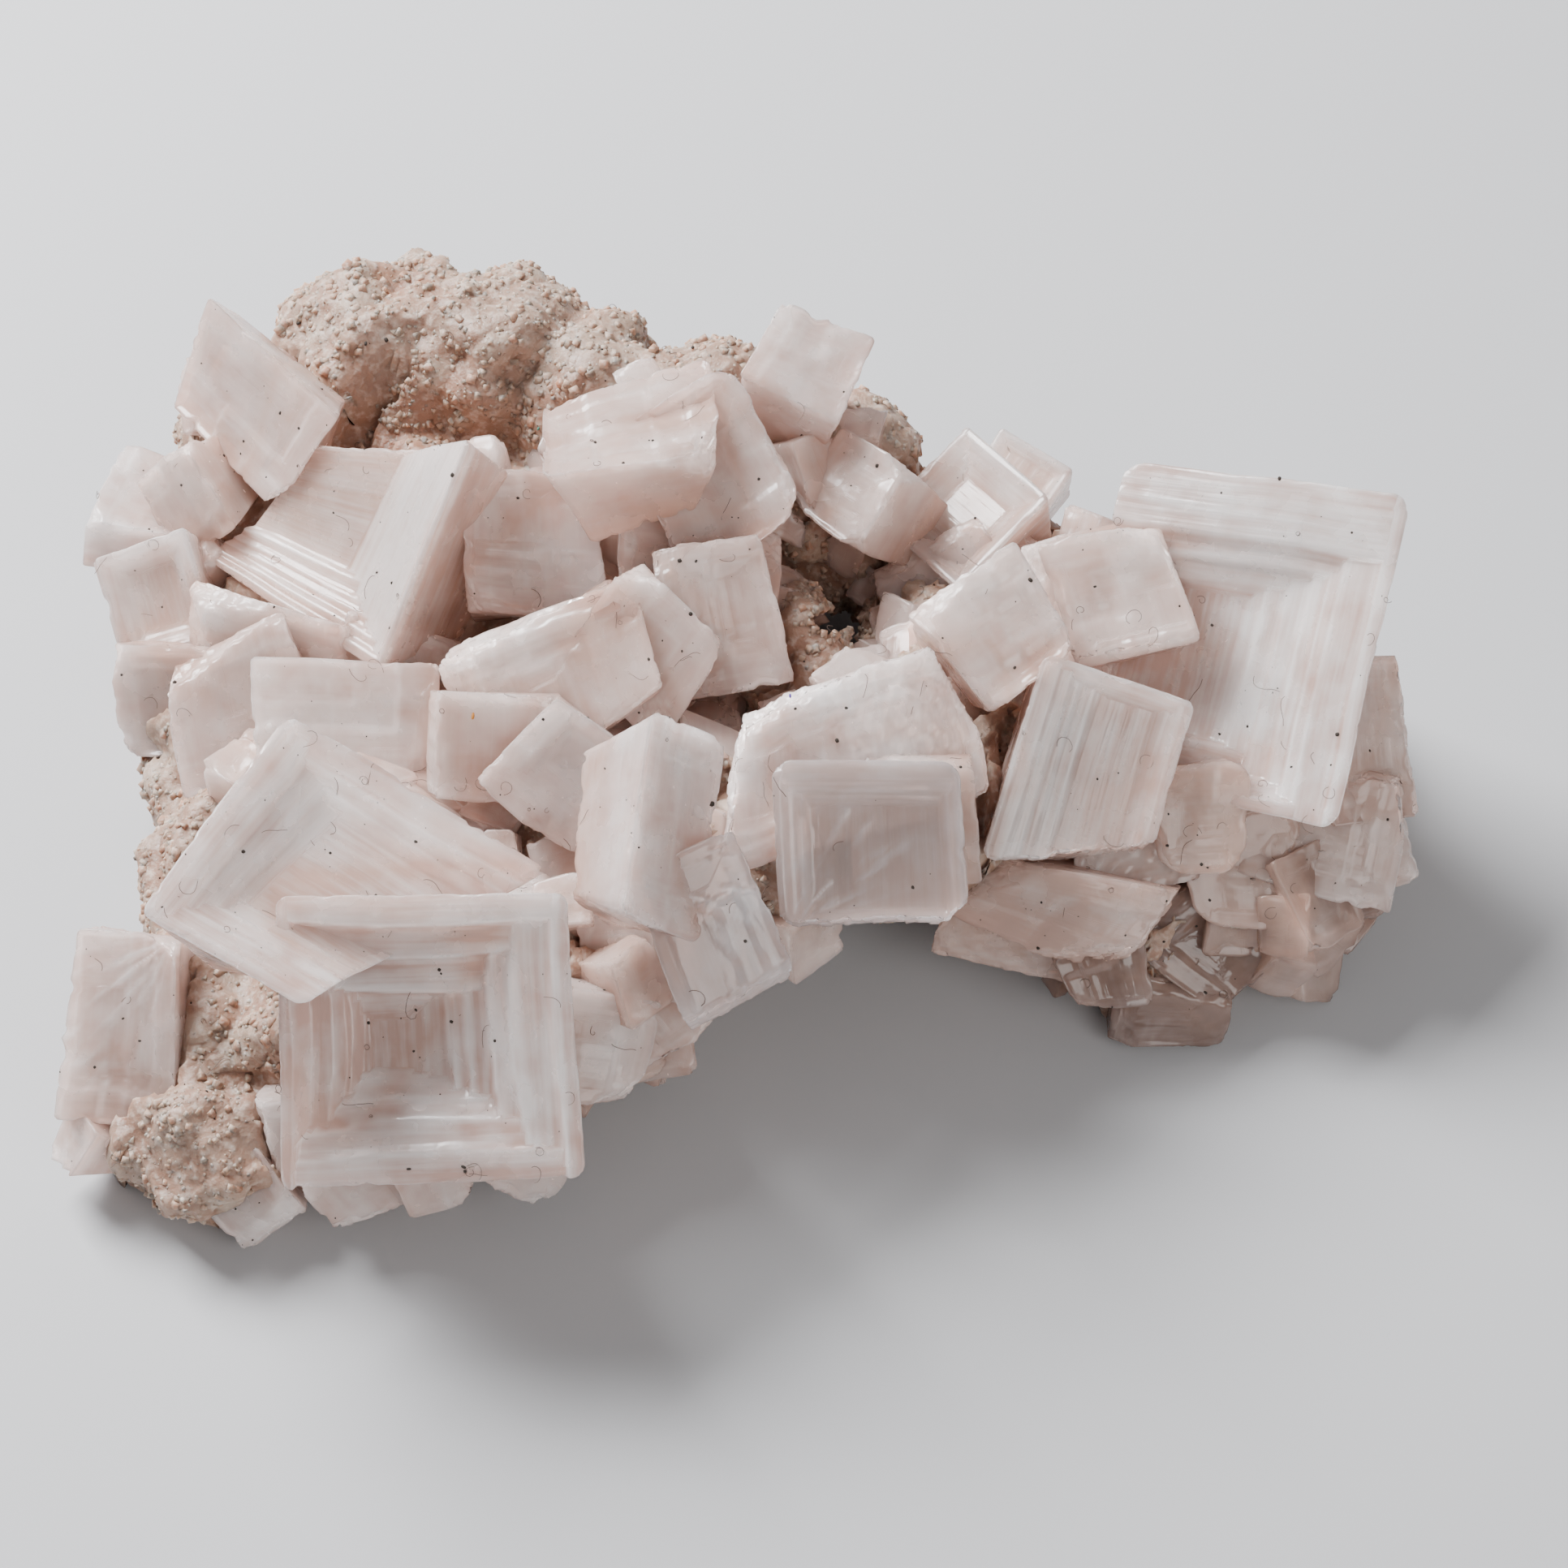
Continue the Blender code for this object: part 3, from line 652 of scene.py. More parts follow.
def look_of(name, steps, seed):
    """One crystal's look: the plain one, its walls by its number of steps, then its own row."""
    look = dict(PLAIN_LOOK)
    if steps:
        look.update(HOPPER_LOOK, depth=STEP_DROP * steps)
    random = np.random.default_rng(seed)
    for side in SIDES:
        flat_wall = (random.uniform(*FLAT_RUNS), 0.01, 2, random.uniform(0.3, 1.0), 0.0, 0.05)
        look[side] = (STEP_RUN * steps + 0.04, 0.06, steps * 3, 0.15, 0.0, 0.1) if steps else flat_wall
    look.update(LOOKS.get(name, {}))
    return look


print("looks of their own:", len(LOOKS))

# %% [markdown]
# The relief of a crystal's face comes from four functions. They work on whole arrays of points in the
# crystal's own frame, in mm: x and y lie in the face, and half holds half of the box's width, height and
# length. What they give back is how far the points move and how white the salt turns there.

# %% Relief of a face
RIPPLE_PITCH, RIPPLE_HEIGHT = 0.9, 0.06      # in mm
RAY_HEIGHT, RAY_PITCH = 0.28, 14.0           # in mm, and rays to a radian
TERRACE_DROP = (0.04, 0.22)  # in mm
TERRACE_RAGGED = 0.35        # how far a terrace's edge strays, in mm


def sunk_depth(x, y, half, width, look, seed):
    """Depth below the rim, the wall each point is on, and ledge-edge and ramp white, partly painted highlight.
    """
    floor_depth = look["depth"] * width
    depths, crests = [], []
    for number, side in enumerate(SIDES):
        run, rim, ledges, ramp, low, white = look[side]
        across, along, reach = (x, y, half[0]) if side[1] == "x" else (y, x, half[1])
        inward = reach - across if side[0] == "+" else reach + across
        down, crest = wall_profile(np.maximum(inward, 0.0), along, run * width, rim * width,
                                   floor_depth, ledges, ramp, look["bow"], seed * 10 + number)
        depths.append(low * width + down)
        # a ramp's whitening is a painted highlight, and the wall's white value is partly one too
        ramp_highlight = ramp * soft_step(down, 0.0, 0.4) * (down < 0.97 * look["depth"] * width)
        crests.append(np.maximum(crest, ramp_highlight) * white)
    side = np.argmin(depths, axis=0)
    crest = np.stack(crests)[side, np.arange(len(x))]
    return np.minimum(np.min(depths, axis=0), floor_depth), side, crest


def fanned_rays(x, y, half, corner_x, corner_y, reach, seed):
    """Bright ridges fanning out from one corner of the face: noise in the angle, fading by the distance."""
    over_x, over_y = np.abs(x - corner_x * half[0]), np.abs(y - corner_y * half[1])
    distance = np.hypot(over_x, over_y)
    angle = np.arctan2(over_y, over_x)
    lines = slice_noise(angle * RAY_PITCH, distance * 0.25, seed * 0.7, seed + 14)
    spread = np.sin(2.0 * angle) ** 2 * soft_step(distance, 0.5, 3.0) * soft_step(reach - distance, 0.0, 3.0)
    return np.clip(lines * 2.0, 0.0, 1.0) * spread


def face_ripples(x, y, half, corner_x, corner_y, reach, seed):
    """Waves round one corner of the face: the cube of a raised sine of the distance, fading by it too."""
    distance = np.hypot(x - corner_x * half[0], y - corner_y * half[1])
    distance += 1.2 * slice_noise(x * 0.3, y * 0.3, half[2] * 0.3, seed + 6, 2)
    waves = (0.5 + 0.5 * np.sin(2.0 * np.pi * distance / RIPPLE_PITCH)) ** 3
    return soft_step(reach - distance, 0.0, 0.4 * reach) * waves


def face_terraces(x, y, half, count, seed):
    """Shallow square-cut ledges on a plain face: each lowers the part of the face beyond a ragged corner."""
    random = np.random.default_rng(seed)
    lowered, edges = np.zeros(len(x)), np.zeros(len(x))
    for number in range(count):
        start = random.uniform(-0.75, 0.75, 2) * half[:2]
        way = random.choice((-1.0, 1.0), 2)
        ragged = TERRACE_RAGGED * slice_noise(x * 0.7, y * 0.7, number + 0.5, seed + number)
        inside = np.minimum((x - start[0]) * way[0], (y - start[1]) * way[1]) + ragged
        lowered += random.uniform(*TERRACE_DROP) * soft_step(inside, -0.08, 0.08)
        edges = np.maximum(edges, np.exp(-np.abs(inside) / 0.15))
    return lowered, edges


print("ledges of a test face go down", face_terraces(
    np.zeros(3), np.linspace(-3.0, 3.0, 3), np.ones(3) * 4.0, 3, 5)[0].round(2), "mm")

# %% [markdown]
# The shape of the box itself changes in two ways: its four upright edges are rounded, and corners are
# broken off. Its colour goes darker and more peach where other crystals touch it: painted shade in the gaps.

# %% Rounded, broken, and painted shade in the gaps
CLEAVAGE = 0.30              # height of the small square steps on a broken corner, in mm
BREAK_DEPTH = (0.04, 0.20)   # how far a broken corner is cut back, as a share of the width
BREAK_RAGGED = 0.25          # in mm
GAP_SHADE_REACH = 0.9          # how far from a neighbour the painted gap shade reaches, in mm
NEIGHBOURS = 30.0            # a crystal further off than this can't touch, in mm


def rounded_outline(x, y, half, radius):
    """Move the points of a rectangle so that its corners become arcs of the given radius."""
    over = np.stack([x - np.clip(x, radius - half[0], half[0] - radius),
                     y - np.clip(y, radius - half[1], half[1] - radius)])
    square = np.abs(over).max(axis=0)
    length = np.maximum(np.linalg.norm(over, axis=0), 1e-9)
    return x - over[0] + over[0] / length * square, y - over[1] + over[1] / length * square


def broken_planes(shaped, half, width, count, snaps, seed):
    """Cut corners off: points beyond a plane are laid on it, and how far each was moved is returned too.

    Each plane leans over one upper edge or corner, and stands a little inside the box's own corner. Salt
    splits along its cube faces, so a broken plane is rough with small square steps.
    """
    random = np.random.default_rng(seed)
    moved = np.zeros(len(shaped))
    planes = [(*random.uniform(-1.0, 1.0, 2), random.uniform(0.35, 1.1), random.uniform(*BREAK_DEPTH))
              for number in range(count)]
    for number, (*lean, share) in enumerate((*planes, *snaps)):
        lean = np.array(lean) / np.linalg.norm(lean)
        reach = np.abs(lean) @ half - share * width
        steps = np.floor(shaped / (2.5 * CLEAVAGE)).sum(axis=1) * 0.37 % 1.0
        rough = CLEAVAGE * (steps - 0.5) + BREAK_RAGGED * layered_noise(shaped * 0.6, seed + number)
        over = np.maximum(shaped @ lean + rough - reach, 0.0)
        shaped = shaped - over[:, None] * lean
        moved = np.maximum(moved, over)
    return shaped, moved


def gap_shade_by_neighbours(points, name):
    """Painted gap shade: from 1 on another crystal's skin, by exp(-distance / reach), to 0 well away from them
    all.
    """
    nearest = np.full(len(points), FAR)
    middle = points.mean(axis=0)
    for other, place, (width, height, length), turn, steps in CRYSTALS:
        if other == name or np.linalg.norm(np.array(place) - middle) > NEIGHBOURS:
            continue
        own = (points - np.array(place)) @ facing(turn) + np.array((0.0, 0.0, length / 2))
        beyond = np.abs(own) - np.array((width, height, length)) / 2
        outside = np.linalg.norm(np.maximum(beyond, 0.0), axis=1) - np.minimum(beyond.max(axis=1), 0.0)
        nearest = np.minimum(nearest, outside)
    return np.exp(-nearest / GAP_SHADE_REACH)


print("the corner of a square of 4 mm, rounded by 1 mm, goes to",
      np.round(rounded_outline(np.array([2.0]), np.array([2.0]), (2.0, 2.0), 1.0), 2).ravel())

# %% [markdown]
# Now one crystal's surface. The grid is laid on the box and its edges are rounded, by a radius that
# changes along them. Each point knows its place on the growth lines: how far it is across them and along
# them. The face is sunk, plates and ledges are cut, corners are broken off, and the straight box is
# stretched onto the strayed corners and turned into place.

# %% One crystal's surface
EDGE_ROUND = 0.22            # in mm
GRID_PITCH_LARGE, GRID_PITCH_SMALL = 0.20, 0.25
LARGE_FACE = 10.0            # a face wider than this gets the finer grid
FEWEST_STEPS = 8
EDGE_WIDTH = 0.20            # how far the white of an edge, partly painted highlight, reaches, in mm


def growth_lines(straight, outward, on_face, side, half, seed):
    """Each point's place across and along its face's growth lines, in mm, and a number for its face."""
    x, y = straight[:, 0], straight[:, 1]
    inward = np.stack([half[0] - x, half[0] + x, half[1] - y, half[1] + y])[side, np.arange(len(x))]
    on_x_side = np.abs(outward[:, 0]) > np.abs(outward[:, 1])
    across = np.where(on_face, inward, half[2] - straight[:, 2])
    along = np.where(on_face & (side < 2) | ~on_face & on_x_side, y, x)
    face_number = np.where(on_face, side, 4 + on_x_side + 2 * (outward[:, :2].sum(axis=1) > 0))
    return np.stack([across, along, face_number * 5.0 + seed * 11.0], axis=1)


def stretched_onto(corners, share):
    """Points at the given shares of a box's three edges, when its corners are moved to these."""
    points = np.zeros_like(share)
    for ends in np.ndindex(2, 2, 2):
        parts = [share[:, axis] if end else 1.0 - share[:, axis] for axis, end in enumerate(ends)]
        points += np.prod(parts, axis=0)[:, None] * corners[ends]
    return points


def crystal_surface(name, place, size, turn, steps, seed, pitch=None):
    """Points in mm and faces of one crystal, its grain, milk, peach and streak, and its finish's name."""
    look = look_of(name, steps, seed)
    width, height, length = size
    half = np.array(size) / 2.0
    pitch = pitch or (GRID_PITCH_LARGE if max(width, height) > LARGE_FACE else GRID_PITCH_SMALL)
    counts = [max(int(round(count)), FEWEST_STEPS)
              for count in (width / pitch, height / pitch, length / pitch / 1.5)]
    places, quads = box_grid(counts)
    part = places / np.array(counts)
    straight = np.stack([(2 * crowd_to_ends(part[:, 0]) - 1) * half[0],
                         (2 * crowd_to_ends(part[:, 1]) - 1) * half[1],
                         half[2] - length * (1.0 - part[:, 2]) ** 1.35], axis=1)
    x, y, z = straight.T
    below = half[2] - z
    on_face = places[:, 2] == counts[2]

    ragged = soft_step(layered_noise((straight + seed * 3.1) * 0.7, seed + 3, 4), 0.0, 0.7)
    radius = (EDGE_ROUND + look["wear"] * ragged)[:, None]
    core = np.clip(straight, -half + radius, half - radius)
    outward = straight - core
    outward /= np.linalg.norm(outward, axis=1, keepdims=True)
    depth, side, crest = sunk_depth(x, y, half, width, look, seed)
    grain = growth_lines(straight, outward, on_face, side, half, seed)
    across, along, face_number = grain.T

    plates = slice_noise(across * 0.9, along * 0.06, face_number, seed)
    plates = 0.6 * np.round(plates * 4.0) / 4.0 + 0.4 * plates
    plates_fade = np.where(on_face, 0.5 * soft_step(across, 0.15, 1.2), 1.0)
    lowered, ledge_edges = face_terraces(x, y, half, look["terraces"], seed + 30)
    to_edge = np.sort(half - np.abs(straight), axis=1)[:, 1]
    lift = -look["plates"] * (0.5 - 0.5 * plates) * plates_fade - lowered * on_face
    lift *= soft_step(to_edge, 0.0, 0.5)
    arcs = np.zeros(len(x))
    for relief, row, rise in ((fanned_rays, look["rays"], RAY_HEIGHT),
                              (face_ripples, look["ripples"], RIPPLE_HEIGHT)):
        if row:
            arcs = on_face * relief(x, y, half, *row, seed)
            lift += rise * arcs

    shaped = core + outward * (radius + lift[:, None])
    shaped[:, 0], shaped[:, 1] = rounded_outline(shaped[:, 0], shaped[:, 1], half, look["corner"])
    shaped[:, 2] -= depth * np.where(on_face, 1.0, np.clip(1.0 - below / length, 0.0, 1.0))
    shaped, broken = broken_planes(shaped, half, width, look["breaks"], look["snaps"], seed + 50)
    points = stretched_onto(stray_corners(name, place, size, steps), shaped / half * 0.5 + 0.5)
    points = points @ facing(turn).T + np.array(place) + TO_PART_FRAME
    bend = [layered_noise(points * 0.13, 40 + axis, 2) for axis in range(3)]
    points += np.stack(bend, axis=1) * look["bend"] * width

    bands = look["streak"] * slice_noise(across * 0.5, along * 0.05, face_number, seed + 9)
    # darker and more peach near other crystals: painted shade in the gaps
    gap_shade = gap_shade_by_neighbours(points - TO_PART_FRAME, name)
    # darker and more peach towards the buried end: partly the salt's own peach near the crust, partly painted
    # shade low between the crystals
    buried = soft_step(below, 0.35 * length, length)
    milk = look["milk"] + 0.35 * bands + 0.45 * layered_noise(points * 0.3, 91) - 0.35 * gap_shade
    # whiter ledge edges and ramps: partly milky growth bands, partly painted highlight
    milk += crest * on_face
    # whiter edges: partly the salt's own white, partly painted highlight along the rims
    milk += look["edge"] * np.exp(-to_edge / EDGE_WIDTH) + 0.9 * arcs
    milk += 0.25 * soft_step(broken, 0.0, 0.4) + 0.25 * ledge_edges * on_face - 0.3 * buried
    floor_part = soft_step(depth, 0.6 * look["depth"] * width, look["depth"] * width) if steps else 0.0
    peach = look["peach"] * (1.0 + 0.8 * floor_part) + 0.35 * buried + 0.30 * gap_shade
    peach = peach + 0.12 * layered_noise(points * 0.2, 77, 2)
    streak = np.full(len(points), look["streak"])
    return points, quads, grain, np.clip(milk, 0.0, 1.0), np.clip(peach, 0.0, 1.0), streak, look["finish"]


trial = crystal_surface(*CRYSTALS[1], seed=1)
print("a crystal of 8 mm has", len(trial[0]), "points and", 2 * len(trial[1]), "triangles")

# %% Make all the crystals
finishes = {"milky": milky, "glassy": glassy, "smoky": smoky}
triangles = 0
for number, row in enumerate(CRYSTALS):
    points, quads, *values, finish = crystal_surface(*row, seed=number + 1)
    make_piece("crystal_" + row[0], points, quads, finishes[finish], *values)
    triangles += 2 * len(quads)
print("crystals", len(CRYSTALS), "triangles", triangles)

# %% [markdown]
# The crust under the crystals is fine-grained salt in rounded knobs, coloured peach by iron dust. It
# starts from the same lumps as the solid, melted together by a remesh, this time fine enough to carry
# knobs and grains, which are pushed out of the skin with cell noise.

# %% Crust finish
CRUST_PALE = (0.42, 0.31, 0.24, 1.0)
CRUST_PEACH = (0.42, 0.23, 0.15, 1.0)
# the brown of the hollows between the knobs is painted shade
CRUST_HOLLOW_SHADE = (0.22, 0.10, 0.06, 1.0)
SUGAR_GLINT = (0.80, 0.70, 0.62, 1.0)
PATCH_SCALE, SUGAR_SCALE = 160.0, 1500.0     # colour patches and sugary grains to a metre


def crust_finish():
    """Sugary salt: pale on the knobs, peach in patches and darkened brown in the deepest hollows as painted
    shade.
    """
    made, tree, shader = new_material("salt crust")
    place = add_node(tree, "TexCoord", {}, "Object")
    milk, peach = point_value(tree, "milk"), point_value(tree, "peach")
    patches = noise_on(tree, place, PATCH_SCALE)
    sugar = noise_on(tree, place, SUGAR_SCALE)
    warm = maths(tree, "ADD", peach, stretched(tree, patches, 0.35, 0.65, -0.35, 0.35), clamp=True)
    salt = mix_colours(tree, warm, CRUST_PALE, CRUST_PEACH)
    # the milk value runs from the painted shade of the hollows to the salt's colour
    colour = mix_colours(tree, milk, CRUST_HOLLOW_SHADE, salt)
    fill_inputs(tree, shader, {
        "Base Color": mix_colours(tree, stretched(tree, sugar, 0.5, 0.75, 0.0, 0.45), colour, SUGAR_GLINT),
        "Roughness": stretched(tree, sugar, 0.3, 0.7, 0.35, 0.7),
        "Normal": bump(tree, sugar, 0.25, 0.8),
        "IOR": REFRACTION,
        "Subsurface Weight": 0.6,
        "Subsurface Radius": (1.0, 0.6, 0.45),
        "Subsurface Scale": 1.0 * MM,
    })
    return made


salty = crust_finish()
print("finish", salty.name)

# %% The lumps of the crust
LUMPS = (
    (-29, 29, 11, 9, 8, 9), (-21, 28, 11, 8, 7, 10), (-14, 25, 10, 8, 7, 9), (-6, 22, 11, 8, 7, 9),
    (2, 18, 10, 8, 8, 8), (-36, 23, 8, 8, 8, 8), (-41, 14, 5, 5, 9, 6), (-28, 14, 7, 15, 13, 8),
    (-12, 10, 6, 13, 12, 8), (0, 2, 11, 5, 6, 6), (-39, 0, 4, 6, 9, 6), (-38, -12, 5, 6, 9, 6),
    (-27, -6, 5, 14, 13, 8), (-12, -10, 7, 12, 11, 8), (-38, -24, 5, 8, 9, 6), (-38, -32, 4, 7, 6, 5),
    (-26, -25, 7, 11, 9, 8), (-14, -21, 8, 7, 8, 7), (12, 14, 7, 8, 7, 7), (20, 8, 7, 10, 8, 7),
    (29, 2, 6, 12, 9, 8), (34, -4, 7, 8, 9, 7), (17, -7, 8, 11, 8, 7), (26, -10, 5, 10, 8, 7),
    (9, -12, 12, 9, 6, 6), (33, -12, 6, 7, 6, 6), (-1, -14, 13, 8, 6, 6), (25, -16, 3, 6, 4, 5),
    (12, 5, 8, 7, 7, 6), (10, -4, 11, 8, 7, 6), (-27, 22, 4, 7, 6, 5),
)
CRUST_GRAIN, CRUST_ROUGH = 3.5, 4.5      # pitch and height of the solid's knobs
CRUST_VOXEL = 0.5
GAP_PLACE, GAP_RADII, GAP_LEAN = (3.2, 8.0, 8.0), (1.6, 1.1, 22.0), 36.0


def melted_lumps():
    """The lumps as balls, roughened as the solid is, melted into one fine skin, with the gap cut through."""
    shape = bmesh.new()
    for x, y, z, rx, ry, rz in LUMPS:
        size = Matrix.Diagonal((rx * MM, ry * MM, rz * MM, 1.0))
        bmesh.ops.create_icosphere(shape, subdivisions=3, radius=1.0,
                                   matrix=Matrix.Translation(Vector((x, y, z)) * MM) @ size)
    mesh = bpy.data.meshes.new("lumps")
    shape.to_mesh(mesh)
    shape.free()
    lumps = bpy.data.objects.new("lumps", mesh)
    bpy.context.scene.collection.objects.link(lumps)

    knobs = bpy.data.textures.new("knobs", "CLOUDS")
    knobs.noise_scale = CRUST_GRAIN * MM
    rough = lumps.modifiers.new("rough", "DISPLACE")
    rough.texture = knobs
    rough.texture_coords = "LOCAL"
    rough.strength = CRUST_ROUGH * MM
    melt = lumps.modifiers.new("melt", "REMESH")
    melt.mode = "VOXEL"
    melt.voxel_size = CRUST_VOXEL * MM

    lens = bmesh.new()
    place = Matrix.Translation(Vector(GAP_PLACE) * MM) @ Matrix.Rotation(math.radians(GAP_LEAN), 4, "X")
    bmesh.ops.create_icosphere(lens, subdivisions=3, radius=1.0,
                               matrix=place @ Matrix.Diagonal((*(r * MM for r in GAP_RADII), 1.0)))
    lens_mesh = bpy.data.meshes.new("gap lens")
    lens.to_mesh(lens_mesh)
    lens.free()
    lens_thing = bpy.data.objects.new("gap lens", lens_mesh)
    bpy.context.scene.collection.objects.link(lens_thing)
    cut = lumps.modifiers.new("cut", "BOOLEAN")
    cut.operation = "DIFFERENCE"
    cut.object = lens_thing
    return lumps, lens_thing


def evaluated_arrays(thing):
    """Points in mm, triangles and point normals of an object as its modifiers leave it."""
    made = bpy.data.meshes.new_from_object(thing.evaluated_get(bpy.context.evaluated_depsgraph_get()))
    made.calc_loop_triangles()
    points = np.zeros(len(made.vertices) * 3)
    made.vertices.foreach_get("co", points)
    normals = np.zeros(len(made.vertices) * 3)
    made.vertices.foreach_get("normal", normals)
    faces = np.zeros(len(made.loop_triangles) * 3, np.int32)
    made.loop_triangles.foreach_get("vertices", faces)
    bpy.data.meshes.remove(made)
    return points.reshape(-1, 3) / MM, faces.reshape(-1, 3), normals.reshape(-1, 3)


lumps, gap_lens = melted_lumps()
crust_points, crust_faces, crust_normals = evaluated_arrays(lumps)
for helper in (lumps, gap_lens):
    bpy.data.objects.remove(helper, do_unlink=True)
print("crust points", len(crust_points), "triangles", len(crust_faces))

# %% Grains on the crust
KNOB_PITCH, KNOB_HEIGHT = 2.4, 0.8
GRAIN_PITCH, GRAIN_HEIGHT = 1.1, 0.22
SINK_UNDER = 1.5             # how far the crust is let down inside a crystal, in mm


def inside_crystals(points, margin, hoppers_only=False):
    """Which points lie inside the box of one of the large crystals, deeper than the margin."""
    inside = np.zeros(len(points), bool)
    for name, place, (width, height, length), turn, steps in CRYSTALS:
        if hoppers_only and not steps:
            continue
        own = (points - np.array(place)) @ facing(turn)
        inside |= ((np.abs(own[:, 0]) < width / 2 - margin) & (np.abs(own[:, 1]) < height / 2 - margin)
                   & (own[:, 2] < -margin) & (own[:, 2] > -length))
    return inside


def dome(distance):
    """A rounded top over each scattered point: the square root of 1 - 1.3 d^2, down to nothing."""
    return np.sqrt(np.clip(1.0 - 1.3 * distance * distance, 0.0, 1.0))


knob_gap, knob_number = cell_noise(crust_points / KNOB_PITCH, 21)
grain_gap, grain_number = cell_noise(crust_points / GRAIN_PITCH, 22)
swell = KNOB_HEIGHT * dome(knob_gap) * (0.4 + 0.6 * knob_number)
swell += GRAIN_HEIGHT * dome(grain_gap) * (0.3 + 0.7 * grain_number)
swell -= 0.55 * (KNOB_HEIGHT + GRAIN_HEIGHT)

lean = math.radians(GAP_LEAN)
gap_axis = np.array((0.0, -math.sin(lean), math.cos(lean)))
from_gap = crust_points - np.array(GAP_PLACE)
off_axis = from_gap - (from_gap @ gap_axis)[:, None] * gap_axis
from_hole = np.linalg.norm(off_axis, axis=1) / GAP_RADII[0]
grown = crust_points + crust_normals * (swell * soft_step(from_hole, 1.0, 2.2))[:, None]
print("crust points beside the gap", int((from_hole < 1.5).sum()))

hidden = inside_crystals(grown, 0.3)
grown[hidden] -= SINK_UNDER * np.array((0.0, 0.0, 1.0))
# 1 on the knobs, 0 in the hollows, which are darkened as painted shade
unshaded_knobs = soft_step(swell, -0.5, 0.35)
patch = layered_noise(crust_points * 0.11, 60, 2)
creamy = soft_step(knob_number + 0.5 * patch, 0.75, 1.0) * unshaded_knobs
crust_piece = make_piece("crust", grown + TO_PART_FRAME, crust_faces, salty, None,
                         np.clip(0.3 + 0.5 * unshaded_knobs + 0.4 * creamy, 0.0, 1.0),
                         np.clip(0.50 + 0.6 * patch - 0.2 * unshaded_knobs - 0.6 * creamy, 0.0, 1.0))
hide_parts(NODE)
print("crust made")

# %% [markdown]
# Between the large crystals the crust is crowded with young ones. They sprout where it is bare inside the
# crowded zones, a set spacing apart, each with its own size and turn, but not in front of a hopper's
# face. They use the same surface as the large crystals, on a coarser grid, and are joined in a few meshes.

# %% Young crystals
CROWDED = (                  # middle x, y and radius x, y of each zone, in mm, with the lowest height
    (-14.0, -6.0, 24.0, 17.0, 8.0), (12.0, -5.0, 17.0, 12.0, 8.0), (27.0, -13.0, 15.0, 10.0, 2.0),
    (-36.0, 9.0, 10.0, 11.0, 7.0), (-6.0, 12.0, 18.0, 9.0, 12.0), (-20.0, -36.0, 13.0, 5.0, 1.0),
    (17.0, 8.0, 13.0, 8.0, 9.0), (-8.0, -24.0, 8.0, 9.0, 3.0),
)
YOUNG_SPACING = 2.7
YOUNG_PITCH = 0.40
YOUNG_SIZES = (2.6, 5.6)
YOUNG_IN_A_MESH = 45
SHADED_FROM = (15.0, -8.0)   # right of this x and in front of this y the young crystals take the darkened finish: painted shade


def scattered(points, spacing, random):
    """Numbers of some of the points, taken in random order, none nearer another than the spacing."""
    kept = []
    for number in random.permutation(len(points)):
        if not kept or np.linalg.norm(points[kept] - points[number], axis=1).min() > spacing:
            kept.append(number)
    return kept


def turn_towards(direction, spin):
    """Compass, tilt and spin in degrees that make a crystal's face look along a direction."""
    compass = math.degrees(math.atan2(direction[1], direction[0]))
    tilt = math.degrees(math.acos(max(-1.0, min(1.0, direction[2] / np.linalg.norm(direction)))))
    return compass, tilt, spin


random = np.random.default_rng(71)
crowded = np.zeros(len(grown), bool)
for zone_x, zone_y, radius_x, radius_y, lowest in CROWDED:
    crowded |= ((((grown[:, 0] - zone_x) / radius_x) ** 2 + ((grown[:, 1] - zone_y) / radius_y) ** 2 < 1.0)
                & (grown[:, 2] > lowest))
crowded &= (crust_normals[:, 2] > -0.25) & (from_hole > 2.5)
spots = np.flatnonzero(crowded)
spots = random.choice(spots, min(len(spots), 4000), replace=False)
spots = spots[~inside_crystals(grown[spots], 0.6)]
spots = spots[scattered(grown[spots], YOUNG_SPACING, random)]

batches, shaded = [], []
for number, spot in enumerate(spots):
    direction = 0.7 * crust_normals[spot] + np.array((0.0, -0.25, 0.5)) + random.uniform(-0.5, 0.5, 3)
    direction /= np.linalg.norm(direction)
    width = random.uniform(*YOUNG_SIZES)
    size = (width, width * random.uniform(0.6, 1.2), width * 1.1)
    place = grown[spot] + direction * random.uniform(0.2, 0.5) * width
    if inside_crystals(place[None], -0.7 * width, hoppers_only=True)[0]:
        continue
    made = crystal_surface("young", tuple(place), size, turn_towards(direction, random.uniform(0, 360)), 0,
                           seed=300 + number, pitch=YOUNG_PITCH)
    points, quads, grain, milk, peach, streak, finish = made
    milk = np.clip(milk + random.uniform(-0.15, 0.10), 0, 1)
    peach = np.clip(peach + random.uniform(-0.05, 0.25), 0, 1)
    batches.append((points, quads, grain, milk, peach, streak))
    shaded.append(place[0] > SHADED_FROM[0] and place[1] < SHADED_FROM[1])


def joined(parts):
    """One set of arrays from several crystals' arrays, with the faces renumbered."""
    starts = np.cumsum([0] + [len(part[0]) for part in parts[:-1]])
    faces = np.concatenate([part[1] + start for part, start in zip(parts, starts)])
    return [np.concatenate([part[0] for part in parts]), faces] + [
        np.concatenate([part[place] for part in parts]) for place in (2, 3, 4, 5)]


